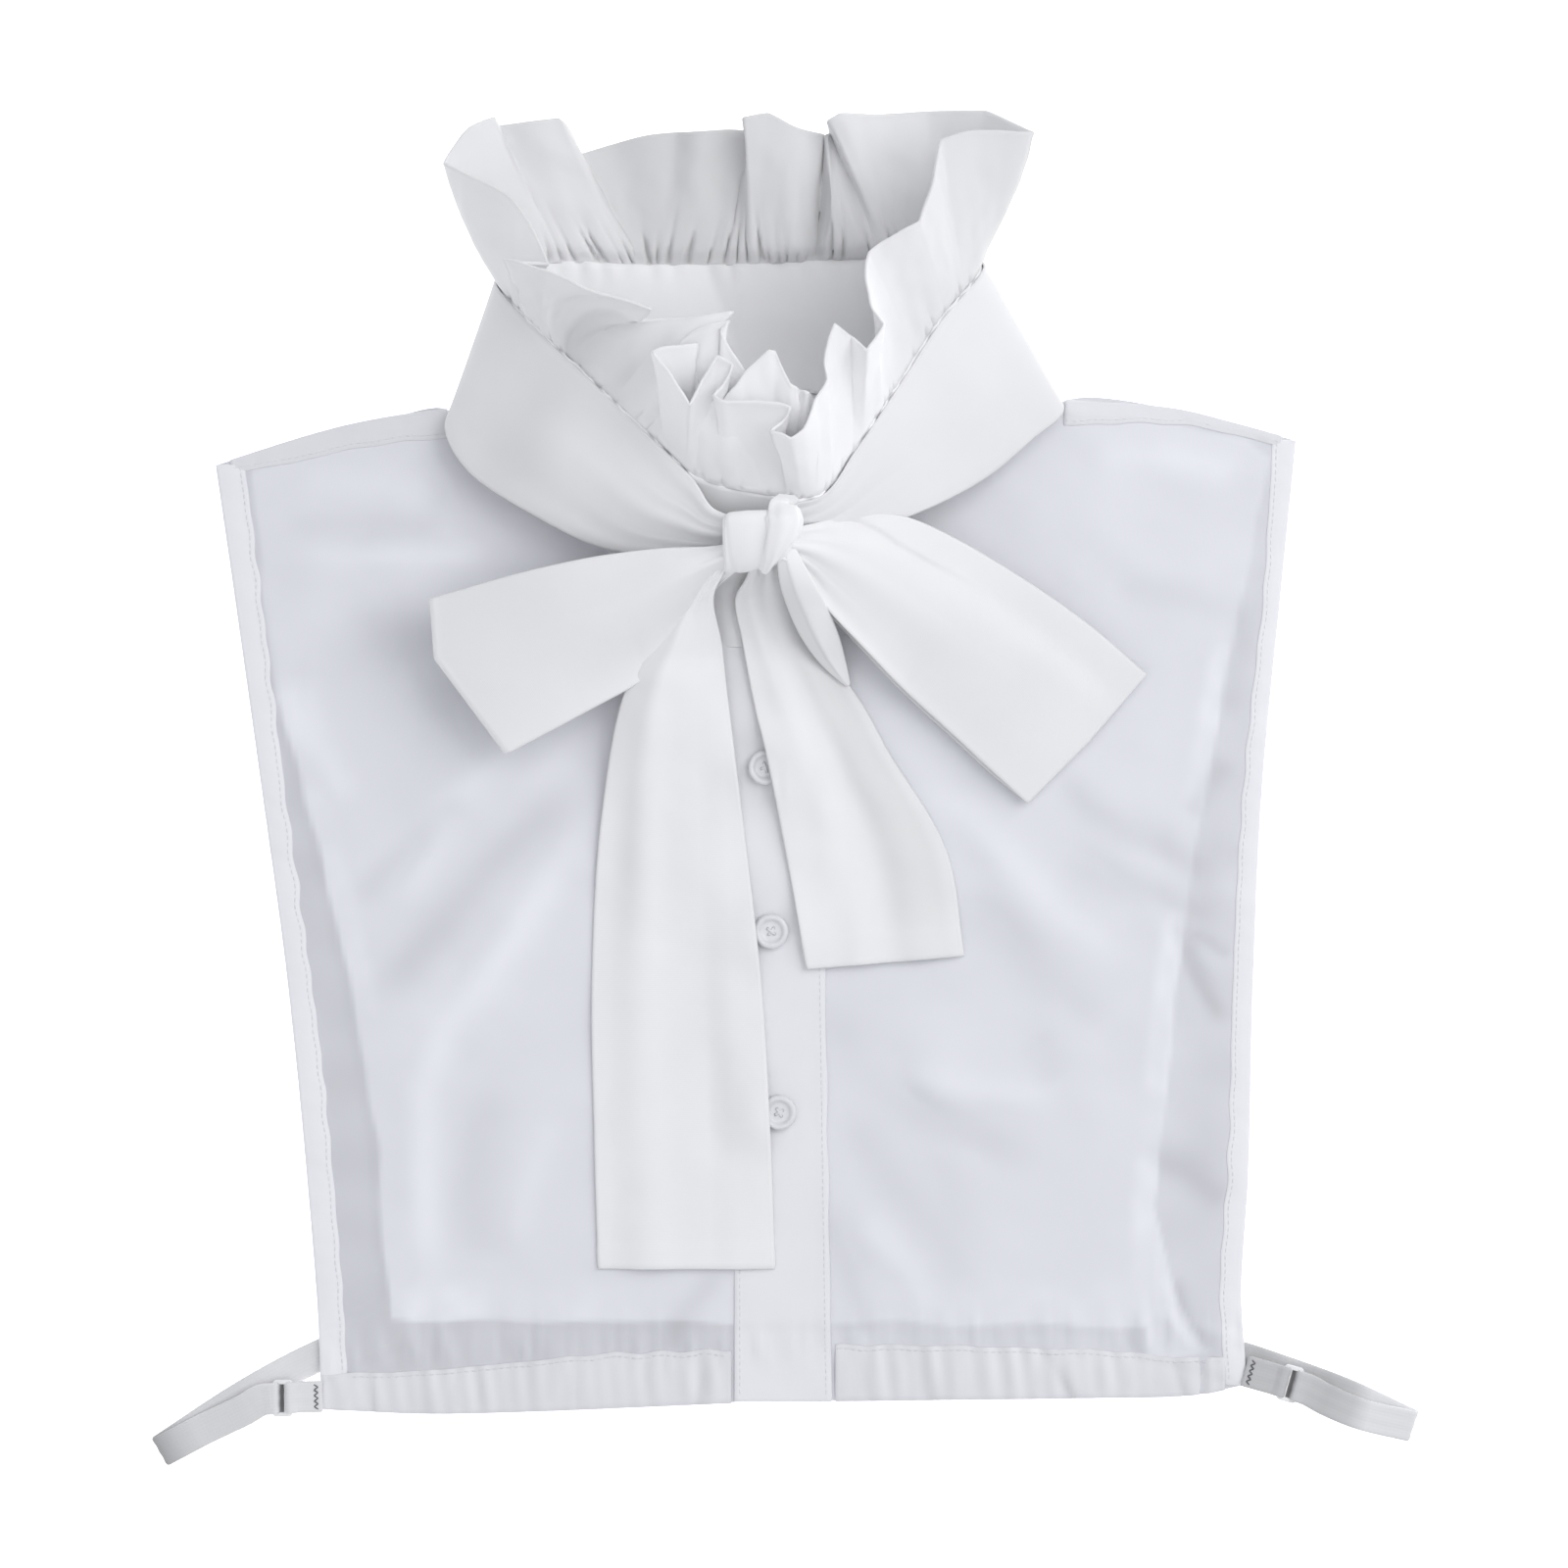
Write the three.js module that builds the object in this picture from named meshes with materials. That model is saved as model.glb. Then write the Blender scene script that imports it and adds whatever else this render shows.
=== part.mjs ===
import * as THREE from 'three';

// Detachable blouse collar lying flat on a table: a sheer false front and back, a stand collar with a
// gathered ruffle, a tie wrapped round the neck and knotted into a bow, and an elastic at each lower corner.
// Millimetres. X runs across the garment, Y from hem to collar, Z up from the surface it lies on.

// Driving dimensions
const CLOTH = 1.0; // wall of every cloth piece
const GAP = 0.4; // air between two cloth layers
const RIBBON = 1.2; // doubled cloth of the tie
const BAND_FLOOR = 0.62; // middle of the tie where it lies on the table
const STAND_FLOOR = 2.1; // middle of the stand where it lies on the tie
const FRONT_LEVEL = CLOTH + GAP; // underside of the front where it lies on the back
const MOUND = { x: -3, y: 74, height: 7.5, reach: 74 }; // rise of the front towards the neck
const BUTTON = { radius: 5.75, height: 2.6, foot: 4.15, rim: 1.4, dish: 1.0, sides: 16 };
const RUFFLE_START = 0.035; // where the ruffle's cloth begins, from the upper seam to the free edge
const LOOP_TURN = 0.16; // last part of a loop, in which its cloth turns back on itself
const LOOP_END = 4; // most that the closed end of a loop bulges outwards
const STRAND_TURN = 0.06; // part of an elastic on either side of its tip
const ELASTIC = { width: 9.5, wall: 1.0 };
const SLIDER = { length: 12, width: 6.4, bar: 1.3, height: 1.6, corner: 1.0, slotStep: 0.3 };
const BAND_CREASES = { count: 3, depth: 1.1, start: 14, reach: 70 }; // folds running out from the knot
const TAIL_FOLD = { at: 0.24, width: 0.13, height: 1.6, start: 0.3 }; // lengthwise fold of a tail
const TAIL_LIFT = { from: 34, to: 17 }; // distance from the placket at which a tail climbs over the buttons

// Grid of each kind of cloth
const GRIDS = {
  panel: { rows: 17, columns: 14 },
  placket: { rows: 4, columns: 20 },
  stand: { rows: 4, columns: 54 },
  ruffle: { rows: 5, columnsPerFold: 3 },
  band: { rows: 5, columns: 56 },
  loop: { rows: 7, columns: 23 },
  tail: { rows: 18, columns: 9 },
  knotSides: 16,
  strand: 22,
};

// Soft ridges of the front, each along a line from (x0, y0) to (x1, y1)
const FRONT_RIDGES = [
  { x0: -52, y0: 44, x1: -138, y1: -24, height: 3.2, width: 9 },
  { x0: -70, y0: 20, x1: -134, y1: -80, height: 3.0, width: 9 },
  { x0: -86, y0: -40, x1: -120, y1: -140, height: 2.6, width: 10 },
  { x0: -100, y0: 96, x1: -168, y1: 52, height: 2.4, width: 9 },
  { x0: 62, y0: -4, x1: 104, y1: -110, height: 3.2, width: 10 },
  { x0: 96, y0: 2, x1: 138, y1: -70, height: 3.0, width: 9 },
  { x0: 40, y0: -70, x1: 66, y1: -150, height: 2.4, width: 10 },
  { x0: 96, y0: 88, x1: 150, y1: 44, height: 2.6, width: 10 },
];

// Outlines of the front, read from the shoulder down
const LEFT_SIDE = [
  { x: -185, y: 104, band: 9 },
  { x: -179.2, y: 64, band: 8 },
  { x: -170.2, y: 0, band: 7 },
  { x: -161.6, y: -64, band: 7 },
  { x: -155.2, y: -128, band: 8 },
  { x: -151.2, y: -180, band: 8 },
  { x: -150.4, y: -203.5, band: 8 },
];
const RIGHT_SIDE = [
  { x: 166.6, y: 112, band: 7 },
  { x: 161.8, y: 64, band: 5 },
  { x: 155.6, y: 0, band: 5.5 },
  { x: 152.6, y: -64, band: 6 },
  { x: 151, y: -128, band: 6 },
  { x: 148.8, y: -166, band: 6.5 },
  { x: 150.4, y: -196, band: 6.5 },
];
const LEFT_SHOULDER = [
  { x: -185, y: 104, band: 3 },
  { x: -148, y: 115.4, band: 7 },
  { x: -128, y: 119.6, band: 8 },
  { x: -110, y: 122, band: 9 },
];
const RIGHT_SHOULDER = [
  { x: 92, y: 125, band: 8 },
  { x: 128, y: 122, band: 5.5 },
  { x: 147, y: 117.4, band: 3.5 },
  { x: 166.6, y: 112, band: 3 },
];
const LEFT_HEM = [
  { x: -150.4, y: -203.5, band: 12 },
  { x: -120, y: -205, band: 14.5 },
  { x: -96, y: -204.8, band: 17.5 },
  { x: -16, y: -201.6, band: 17 },
];
const RIGHT_HEM = [
  { x: 15.5, y: -201, band: 18 },
  { x: 96, y: -200, band: 17 },
  { x: 134, y: -199, band: 15 },
  { x: 150.4, y: -196, band: 10 },
];
const PLACKET = { left: -16, rightTop: 11.5, rightBottom: 15.4, top: 55, bottom: -201.3, corner: 3 };

// Inner edges of the two halves of the front under the placket: x at the neck and the point at the hem,
// with the fractions of the neckline at which its ends meet the shoulders
const LEFT_LAP = { neckX: -14, hem: { x: -14, y: -201.5 }, shoulder: 0.03 };
const RIGHT_LAP = { neckX: -10, hem: { x: -10, y: -201 }, shoulder: 0.97 };

// Doubled strips along the edges: direction into the front, and the stretch of the edge they cover
const TRIMS = [
  { name: 'side_binding_left', rows: LEFT_SIDE, inX: 1, inY: 0.02, from: 0.05, to: 0.95, columns: 14 },
  { name: 'side_binding_right', rows: RIGHT_SIDE, inX: -1, inY: 0.02, from: 0.06, to: 0.93, columns: 14 },
  { name: 'hem_left', rows: LEFT_HEM, inX: 0, inY: 1, from: 0.005, to: 0.99, columns: 16 },
  { name: 'hem_right', rows: RIGHT_HEM, inX: 0, inY: 1, from: 0.01, to: 0.995, columns: 16 },
  { name: 'shoulder_seam_left', rows: LEFT_SHOULDER, inX: 0.1, inY: -1, from: 0.04, to: 0.9, columns: 8 },
  { name: 'shoulder_seam_right', rows: RIGHT_SHOULDER, inX: -0.1, inY: -1, from: 0.12, to: 0.96, columns: 8 },
];

// Outline of the back from its lower left corner; cx and cy are the control point of a rounded part
const BACK_START = { x: -128, y: -174.4 };
const BACK_OUTLINE = [
  { x: 120, y: -176.6 },
  { x: 141, y: -40 },
  { x: 158, y: 106 },
  { x: 150, y: 112 },
  { x: 128, y: 117.4 },
  { x: 94, y: 121 },
  { x: 60, y: 127, cx: 84, cy: 126.6 },
  { x: -78, y: 127 },
  { x: -112, y: 118.6, cx: -100, cy: 126 },
  { x: -148, y: 110.4 },
  { x: -174, y: 102 },
  { x: -150, y: -40 },
];

// Neck seam, counter-clockwise from the middle of the back; "front" is 1 where it stands on the front
const NECK_SEAM = [
  { x: -9.6, y: 127.5, front: 0 },
  { x: -76.8, y: 127.5, front: 0 },
  { x: -100, y: 124, front: 0.7 },
  { x: -107.5, y: 116, front: 1 },
  { x: -89.4, y: 92.4, front: 1 },
  { x: -52, y: 69, front: 1 },
  { x: -3.2, y: 57.4, front: 1 },
  { x: 42, y: 73, front: 1 },
  { x: 70.2, y: 99, front: 1 },
  { x: 88, y: 117, front: 1 },
  { x: 82, y: 125, front: 0.7 },
  { x: 60, y: 127.5, front: 0 },
];

// Upper seam of the stand, where the ruffle is gathered on
const TOP_SEAM = [
  { x: -16, y: 169.2, z: 2.4 },
  { x: -51, y: 169.2, z: 2.6 },
  { x: -75, y: 169.6, z: 5 },
  { x: -91.9, y: 163.3, z: 14 },
  { x: -75.5, y: 143.1, z: 26 },
  { x: -56.4, y: 124.7, z: 32 },
  { x: -34.3, y: 106.1, z: 37 },
  { x: -10.9, y: 95, z: 40 },
  { x: 10.9, y: 92.6, z: 40 },
  { x: 21.8, y: 106, z: 38 },
  { x: 34.4, y: 125, z: 34 },
  { x: 48.7, y: 147.6, z: 28 },
  { x: 63.3, y: 168.5, z: 15 },
  { x: 44.7, y: 171.4, z: 5 },
  { x: 16, y: 170.6, z: 2.6 },
];

// Folds of the ruffle: where each starts along the upper seam, and its point on the free edge
const RUFFLE_FOLDS = [
  { seam: 2, x: -13.5, y: 212, z: 2.2 },
  { seam: 9, x: -20, y: 213, z: 2.4 },
  { seam: 16, x: -33, y: 212, z: 7 },
  { seam: 22, x: -43, y: 210.5, z: 3 },
  { seam: 28, x: -61, y: 206, z: 2.4 },
  { seam: 33, x: -72.6, y: 216, z: 11 },
  { seam: 44, x: -81.5, y: 215.5, z: 9 },
  { seam: 54, x: -88, y: 212, z: 6 },
  { seam: 59, x: -93.4, y: 214, z: 16 },
  { seam: 65, x: -102.6, y: 208.5, z: 19 },
  { seam: 70, x: -107.6, y: 200, z: 24 },
  { seam: 75, x: -106.6, y: 188.4, z: 34 },
  { seam: 80, x: -100.9, y: 176, z: 45 },
  { seam: 86, x: -93.4, y: 166, z: 54 },
  { seam: 95, x: -84, y: 162.5, z: 61 },
  { seam: 104, x: -71.7, y: 159, z: 66 },
  { seam: 116, x: -57.2, y: 152.5, z: 70 },
  { seam: 128, x: -42.4, y: 148, z: 71 },
  { seam: 136, x: -50, y: 142.5, z: 60 },
  { seam: 147, x: -33.6, y: 146, z: 59 },
  { seam: 158, x: -17.2, y: 148, z: 56 },
  { seam: 164, x: -30, y: 139, z: 50 },
  { seam: 169, x: -40.4, y: 135, z: 57 },
  { seam: 175, x: -28, y: 137.6, z: 60 },
  { seam: 180, x: -20.1, y: 141.6, z: 63 },
  { seam: 186, x: -12, y: 129, z: 55 },
  { seam: 192, x: -3.8, y: 135, z: 68 },
  { seam: 198, x: 3, y: 124.6, z: 59 },
  { seam: 203, x: 6, y: 117, z: 56 },
  { seam: 208, x: -1.6, y: 110.6, z: 61 },
  { seam: 213, x: 6.4, y: 109.5, z: 62 },
  { seam: 217, x: 10, y: 121, z: 55 },
  { seam: 222, x: 16.3, y: 143.4, z: 62 },
  { seam: 229, x: 25, y: 134.4, z: 58 },
  { seam: 238, x: 33.6, y: 143.4, z: 63 },
  { seam: 249, x: 29.6, y: 150, z: 67 },
  { seam: 263, x: 26.4, y: 158, z: 67 },
  { seam: 276, x: 27, y: 167.4, z: 62 },
  { seam: 288, x: 35.8, y: 173.6, z: 58 },
  { seam: 296, x: 44, y: 180, z: 53 },
  { seam: 303, x: 49.8, y: 202.6, z: 44 },
  { seam: 308, x: 62, y: 207.6, z: 41 },
  { seam: 314, x: 79.2, y: 207.6, z: 35 },
  { seam: 321, x: 66, y: 217.6, z: 21 },
  { seam: 332, x: 47.6, y: 219, z: 12 },
  { seam: 341, x: 31, y: 217.6, z: 10 },
  { seam: 347, x: 14.6, y: 216.2, z: 15 },
  { seam: 352, x: 17, y: 212.5, z: 4 },
  { seam: 358, x: 9.6, y: 211.6, z: 3 },
  { seam: 367, x: 0.6, y: 216, z: 8.5 },
  { seam: 378, x: -5, y: 217.4, z: 12 },
  { seam: 386, x: -12.6, y: 215.6, z: 13 },
];

// Neck band of the tie: its upper and lower edge, once round the outside of the stand
const BAND = [
  { ux: -20, uy: 168.8, uz: 0.5, lx: -20, ly: 128.4, lz: 0.5 },
  { ux: -60, uy: 168.8, uz: 0.6, lx: -60, ly: 128.4, lz: 0.6 },
  { ux: -86, uy: 168, uz: 4.4, lx: -95, ly: 130.5, lz: 1 },
  { ux: -94.6, uy: 160.6, uz: 17, lx: -109.6, ly: 117.8, lz: 8 },
  { ux: -77.6, uy: 141.6, uz: 28, lx: -103, ly: 102.6, lz: 14.5 },
  { ux: -58.4, uy: 123, uz: 34.2, lx: -80, ly: 86.6, lz: 17.5 },
  { ux: -37, uy: 103.6, uz: 39.2, lx: -56, ly: 75.6, lz: 20.5 },
  { ux: -21, uy: 89, uz: 40, lx: -24, ly: 73.4, lz: 26.6 },
  { ux: -4, uy: 85.4, uz: 39, lx: -4, ly: 72.4, lz: 27.6 },
  { ux: 12, uy: 88.6, uz: 40.6, lx: 14, ly: 79, lz: 31 },
  { ux: 25, uy: 106, uz: 40, lx: 40, ly: 86, lz: 26 },
  { ux: 38, uy: 124.6, uz: 35.8, lx: 64, ly: 98.4, lz: 17 },
  { ux: 52.6, uy: 146.8, uz: 29.4, lx: 80, ly: 111.6, lz: 13 },
  { ux: 66.6, uy: 166.4, uz: 17, lx: 90.6, ly: 122, lz: 8 },
  { ux: 58, uy: 171.4, uz: 4, lx: 79, ly: 131, lz: 0.9 },
  { ux: 22, uy: 169.6, uz: 0.6, lx: 30, ly: 128.4, lz: 0.5 },
];

// Bow loops: the upper and lower long edge from knot to closed end, with the height of the two layers
const LOOP_LEFT = [
  { ux: -22, uy: 76, lx: -22, ly: 64.5, under: 33, over: 38.5 },
  { ux: -46, uy: 74.4, lx: -36, ly: 47, under: 24.6, over: 36 },
  { ux: -76.8, uy: 68.4, lx: -51, ly: 31.4, under: 17.5, over: 35 },
  { ux: -99, uy: 62, lx: -67, ly: 21.8, under: 14.5, over: 31 },
  { ux: -111, uy: 59, lx: -85, ly: 10.6, under: 14, over: 26 },
];
const LOOP_RIGHT = [
  { ux: 4, uy: 74, lx: 1.5, ly: 65, under: 33, over: 38.5 },
  { ux: 20, uy: 73.5, lx: 12, ly: 57, under: 21.5, over: 26.5 },
  { ux: 36, uy: 77, lx: 20, ly: 49, under: 16.5, over: 23 },
  { ux: 52, uy: 79.4, lx: 30, ly: 39, under: 13.4, over: 20.5 },
  { ux: 80, uy: 66, lx: 50.6, ly: 19.4, under: 10.8, over: 18 },
  { ux: 103, uy: 47.4, lx: 75, ly: -2, under: 9, over: 15 },
  { ux: 112.6, uy: 38, lx: 79, ly: -4, under: 8.2, over: 13 },
];

// Tails of the bow: the left and right long edge from knot to cut end
const TAIL_LEFT = [
  { lx: -22.5, ly: 64, rx: -14, ry: 64.5, lift: 17 },
  { lx: -38, ly: 46, rx: -20, ry: 46, lift: 5 },
  { lx: -51.2, ly: 30, rx: -18.8, ry: 30, lift: 1.6 },
  { lx: -59.2, ly: -10, rx: -14.6, ry: -6, lift: 0.6 },
  { lx: -62.4, ly: -64, rx: -7.8, ry: -64, lift: 0.3 },
  { lx: -61.6, ly: -116, rx: -4.8, ry: -114, lift: 0.3 },
  { lx: -60.2, ly: -157.6, rx: -3.2, ry: -157.6, lift: 0.3 },
];
const TAIL_RIGHT = [
  { lx: -11.5, ly: 64, rx: -1, ry: 65, lift: 17 },
  { lx: -11.2, ly: 42, rx: 14, ry: 44, lift: 4.5 },
  { lx: -6, ly: 14, rx: 32, ry: 15.6, lift: 1.2 },
  { lx: 0.6, ly: -22, rx: 52.6, ry: -22, lift: 0.3 },
  { lx: 7.4, ly: -60, rx: 58, ry: -55.6, lift: 0.3 },
];

// Sections of the knot from its left to its right end: middle, half height and half depth
const KNOT = [
  { x: -20.6, y: 76.6, z: 40.4, tall: 8.5, deep: 3.2 },
  { x: -19.4, y: 76.8, z: 41, tall: 10, deep: 4.6 },
  { x: -12, y: 77.6, z: 41.6, tall: 10.6, deep: 5.6 },
  { x: -6, y: 78.2, z: 41.8, tall: 11, deep: 5.4 },
  { x: 0.6, y: 79.4, z: 42.2, tall: 10, deep: 5 },
  { x: 2.8, y: 80, z: 42, tall: 8, deep: 3.4 },
];
const KNOT_SLOPE = 0.69; // lean of the neck's front under the knot, in radians

const BUTTONS = [
  { x: -8, y: 5.4 },
  { x: -4.2, y: -48 },
  { x: -1.6, y: -107 },
];

// Elastics: a short tab sewn to the front's hem, a slider, and a doubled strand out to the tip and back
const ELASTIC_LEFT = {
  tab: [{ x: -150.9, y: -199.6 }, { x: -159.6, y: -199.8 }],
  slider: { x: -163.3, y: -200.1, turn: 0 },
  out: [
    { x: -167.5, y: -200.2 },
    { x: -170.5, y: -200.8 },
    { x: -176, y: -204 },
    { x: -188, y: -209.8 },
    { x: -202, y: -217.2 },
  ],
  back: [
    { x: -202, y: -216.6 },
    { x: -180, y: -202 },
    { x: -162, y: -191.6 },
    { x: -143, y: -182.6 },
    { x: -127.8, y: -176.4 },
  ],
};
const ELASTIC_RIGHT = {
  tab: [{ x: 152.4, y: -191.8 }, { x: 161.2, y: -194.3 }],
  slider: { x: 164.8, y: -195.4, turn: -16 },
  out: [
    { x: 168.5, y: -196.6 },
    { x: 171, y: -197.5 },
    { x: 177, y: -200.8 },
    { x: 188, y: -205.4 },
    { x: 203.6, y: -209.2 },
  ],
  back: [
    { x: 203.6, y: -208.6 },
    { x: 184, y: -199.4 },
    { x: 160, y: -190.6 },
    { x: 138, y: -183.6 },
    { x: 120.2, y: -178.9 },
  ],
};

// Materials
const sheerCloth = new THREE.MeshStandardMaterial({ color: 0xdedee8, roughness: 0.95, metalness: 0 });
const tieCloth = new THREE.MeshStandardMaterial({ color: 0xe9e9e9, roughness: 0.9, metalness: 0 });
const pearl = new THREE.MeshStandardMaterial({ color: 0xe6e8ee, roughness: 0.25, metalness: 0 });
const webbing = new THREE.MeshStandardMaterial({ color: 0xd8d8da, roughness: 0.85, metalness: 0 });
const whitePlastic = new THREE.MeshStandardMaterial({ color: 0xededee, roughness: 0.4, metalness: 0 });

// Number helpers
const lerp = THREE.MathUtils.lerp;
const smooth = (value, from, to) => {
  const t = THREE.MathUtils.clamp((value - from) / (to - from), 0, 1);
  return t * t * (3 - 2 * t);
};

// Curve through the named columns of a table, read at a fraction of its rows
function tableCurve(rows, [x, y, z], closed = false) {
  const points = rows.map((row) => new THREE.Vector3(row[x], row[y], z ? row[z] : 0));
  return new THREE.CatmullRomCurve3(points, closed, 'centripetal');
}

// Column of a table, read smoothly at a fraction of its rows
function tableValue(rows, column, t) {
  const place = THREE.MathUtils.clamp(t, 0, 1) * (rows.length - 1);
  const row = Math.min(Math.floor(place), rows.length - 2);
  return lerp(rows[row][column], rows[row + 1][column], place - row);
}

// Underside of the front at (x, y): its level, the mound at the neck and the ridges
function frontUnderside(x, y) {
  const toNeck = Math.hypot(x - MOUND.x, y - MOUND.y) / MOUND.reach;
  let height = FRONT_LEVEL + MOUND.height * Math.exp(-toNeck * toNeck);
  for (const ridge of FRONT_RIDGES) {
    const dx = ridge.x1 - ridge.x0;
    const dy = ridge.y1 - ridge.y0;
    const along = ((x - ridge.x0) * dx + (y - ridge.y0) * dy) / (dx * dx + dy * dy);
    const t = THREE.MathUtils.clamp(along, 0, 1);
    const away = Math.hypot(x - ridge.x0 - t * dx, y - ridge.y0 - t * dy) / ridge.width;
    const fade = Math.sin(Math.PI * THREE.MathUtils.clamp(along * 0.8 + 0.1, 0, 1));
    height += ridge.height * fade * Math.exp(-away * away);
  }
  return height;
}
const frontTop = (x, y) => frontUnderside(x, y) + CLOTH;
const trimUnderside = (x, y) => frontTop(x, y) + GAP;

// Closed solid between two grids of points, under[row][column] and over[row][column]
function gridSolid(under, over, wrapsRound = false) {
  const rows = under.length;
  const columns = under[0].length;
  const positions = [...under.flat(), ...over.flat()].flatMap((p) => [p.x, p.y, p.z]);
  const index = [];
  const quad = (a, b, c, d) => index.push(a, b, c, a, c, d);
  const low = (r, c) => r * columns + (c % columns);
  const high = (r, c) => rows * columns + low(r, c);
  const lastColumn = wrapsRound ? columns : columns - 1;
  for (let r = 0; r < rows - 1; r += 1) {
    for (let c = 0; c < lastColumn; c += 1) {
      quad(high(r, c), high(r, c + 1), high(r + 1, c + 1), high(r + 1, c));
      quad(low(r, c), low(r + 1, c), low(r + 1, c + 1), low(r, c + 1));
    }
    if (!wrapsRound) {
      quad(low(r, 0), high(r, 0), high(r + 1, 0), low(r + 1, 0));
      quad(low(r, lastColumn), low(r + 1, lastColumn), high(r + 1, lastColumn), high(r, lastColumn));
    }
  }
  for (let c = 0; c < lastColumn; c += 1) {
    quad(low(0, c), low(0, c + 1), high(0, c + 1), high(0, c));
    quad(low(rows - 1, c), high(rows - 1, c), high(rows - 1, c + 1), low(rows - 1, c + 1));
  }
  return closedGeometry(positions, index);
}

// Mesh with its faces pointing out, from positions and triangles that close on themselves
function closedGeometry(positions, index) {
  const geometry = new THREE.BufferGeometry();
  geometry.setAttribute('position', new THREE.Float32BufferAttribute(positions, 3));
  geometry.setIndex(index);
  if (signedVolume(geometry) < 0) {
    for (let i = 0; i < index.length; i += 3) {
      [index[i], index[i + 1]] = [index[i + 1], index[i]];
    }
    geometry.setIndex(index);
  }
  return geometry;
}

// Volume inside a closed mesh, negative where its faces point inwards
function signedVolume(geometry) {
  const position = geometry.getAttribute('position');
  const index = geometry.getIndex();
  const [a, b, c] = [new THREE.Vector3(), new THREE.Vector3(), new THREE.Vector3()];
  let volume = 0;
  for (let i = 0; i < index.count; i += 3) {
    a.fromBufferAttribute(position, index.getX(i));
    b.fromBufferAttribute(position, index.getX(i + 1));
    c.fromBufferAttribute(position, index.getX(i + 2));
    volume += a.dot(b.cross(c)) / 6;
  }
  return volume;
}

// Points of surface(u, v) on a grid, v down the rows and u along the columns
function sampleGrid(surface, rows, columns, wrapsRound = false) {
  const steps = wrapsRound ? columns : columns - 1;
  const grid = [];
  for (let r = 0; r < rows; r += 1) {
    const line = [];
    for (let c = 0; c < columns; c += 1) {
      line.push(surface(c / steps, r / (rows - 1)));
    }
    grid.push(line);
  }
  return grid;
}

// Cloth of one thickness about a surface, measured square to it
function clothSolid(surface, rows, columns, wall, wrapsRound = false) {
  const middle = sampleGrid(surface, rows, columns, wrapsRound);
  const at = (r, c) => {
    const column = wrapsRound ? (c + columns) % columns : THREE.MathUtils.clamp(c, 0, columns - 1);
    return middle[THREE.MathUtils.clamp(r, 0, rows - 1)][column];
  };
  const shifted = (amount) => middle.map((line, r) => line.map((point, c) => {
    const across = at(r, c + 1).clone().sub(at(r, c - 1));
    const along = at(r + 1, c).clone().sub(at(r - 1, c));
    return point.clone().addScaledVector(across.cross(along).normalize(), amount);
  }));
  return gridSolid(shifted(-wall / 2), shifted(wall / 2), wrapsRound);
}

// Cloth lying in layers: thickness measured straight up from underside(x, y)
function layerSolid(outline, underside, rows, columns, wall) {
  const under = sampleGrid(outline, rows, columns).map((line) => line.map((p) => {
    return new THREE.Vector3(p.x, p.y, p.z + underside(p.x, p.y));
  }));
  const over = under.map((line) => line.map((p) => new THREE.Vector3(p.x, p.y, p.z + wall)));
  return gridSolid(under, over);
}

// Flat patch between four edge curves that meet at their ends
function patch(top, bottom, left, right) {
  return (u, v) => {
    const across = top(u).multiplyScalar(1 - v).add(bottom(u).multiplyScalar(v));
    const down = left(v).multiplyScalar(1 - u).add(right(v).multiplyScalar(u));
    const corners = top(0).multiplyScalar((1 - u) * (1 - v))
      .add(top(1).multiplyScalar(u * (1 - v)))
      .add(bottom(0).multiplyScalar((1 - u) * v))
      .add(bottom(1).multiplyScalar(u * v));
    return across.add(down).sub(corners);
  };
}

// Edge curve as a function that returns a fresh point for a fraction of its length
const edge = (curve, from = 0, to = 1) => (t) => curve.getPointAt(lerp(from, to, t));

const group = new THREE.Group();
function addMesh(name, geometry, material) {
  geometry.computeVertexNormals();
  const mesh = new THREE.Mesh(geometry, material);
  mesh.name = name;
  group.add(mesh);
  return mesh;
}

// Loop of the neck seam: on the back it lies flat, on the front it stands on the front's cloth
const neckRows = NECK_SEAM.map((row) => {
  const onFront = frontTop(row.x, row.y) + GAP + CLOTH / 2;
  return { x: row.x, y: row.y, z: lerp(STAND_FLOOR, onFront, row.front) };
});
const neckSeam = tableCurve(neckRows, ['x', 'y', 'z'], true);
const topSeam = tableCurve(TOP_SEAM, ['x', 'y', 'z'], true);

// Front half of the neckline, from the left shoulder round to the right one
const necklineRows = NECK_SEAM.filter((row) => row.front === 1);
const neckline = tableCurve(necklineRows, ['x', 'y']);

// Fraction along the neckline at which it crosses the given x
function necklineAt(x) {
  let t = 0.2;
  while (neckline.getPointAt(t).x < x) {
    t += 0.002;
  }
  return t;
}

// Curve through the points of several tables in turn
function joined(...tables) {
  return new THREE.CatmullRomCurve3(tables.flat(), false, 'centripetal');
}
const points = (rows) => rows.map((row) => new THREE.Vector3(row.x, row.y, 0));

function stretch(curve, from, to, count) {
  const list = [];
  for (let i = 0; i <= count; i += 1) {
    list.push(curve.getPointAt(lerp(from, to, i / count)));
  }
  return list;
}

const straight = (from, to) => new THREE.LineCurve3(
  new THREE.Vector3(from.x, from.y, 0),
  new THREE.Vector3(to.x, to.y, 0),
);

function buildBack() {
  const shape = new THREE.Shape();
  shape.moveTo(BACK_START.x, BACK_START.y);
  for (const row of BACK_OUTLINE) {
    if ('cx' in row) {
      shape.quadraticCurveTo(row.cx, row.cy, row.x, row.y);
    } else {
      shape.lineTo(row.x, row.y);
    }
  }
  shape.lineTo(BACK_START.x, BACK_START.y);
  const geometry = new THREE.ExtrudeGeometry(shape, { depth: CLOTH, bevelEnabled: false, curveSegments: 6 });
  geometry.deleteAttribute('uv');
  addMesh('back_panel', geometry, sheerCloth);
}

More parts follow.
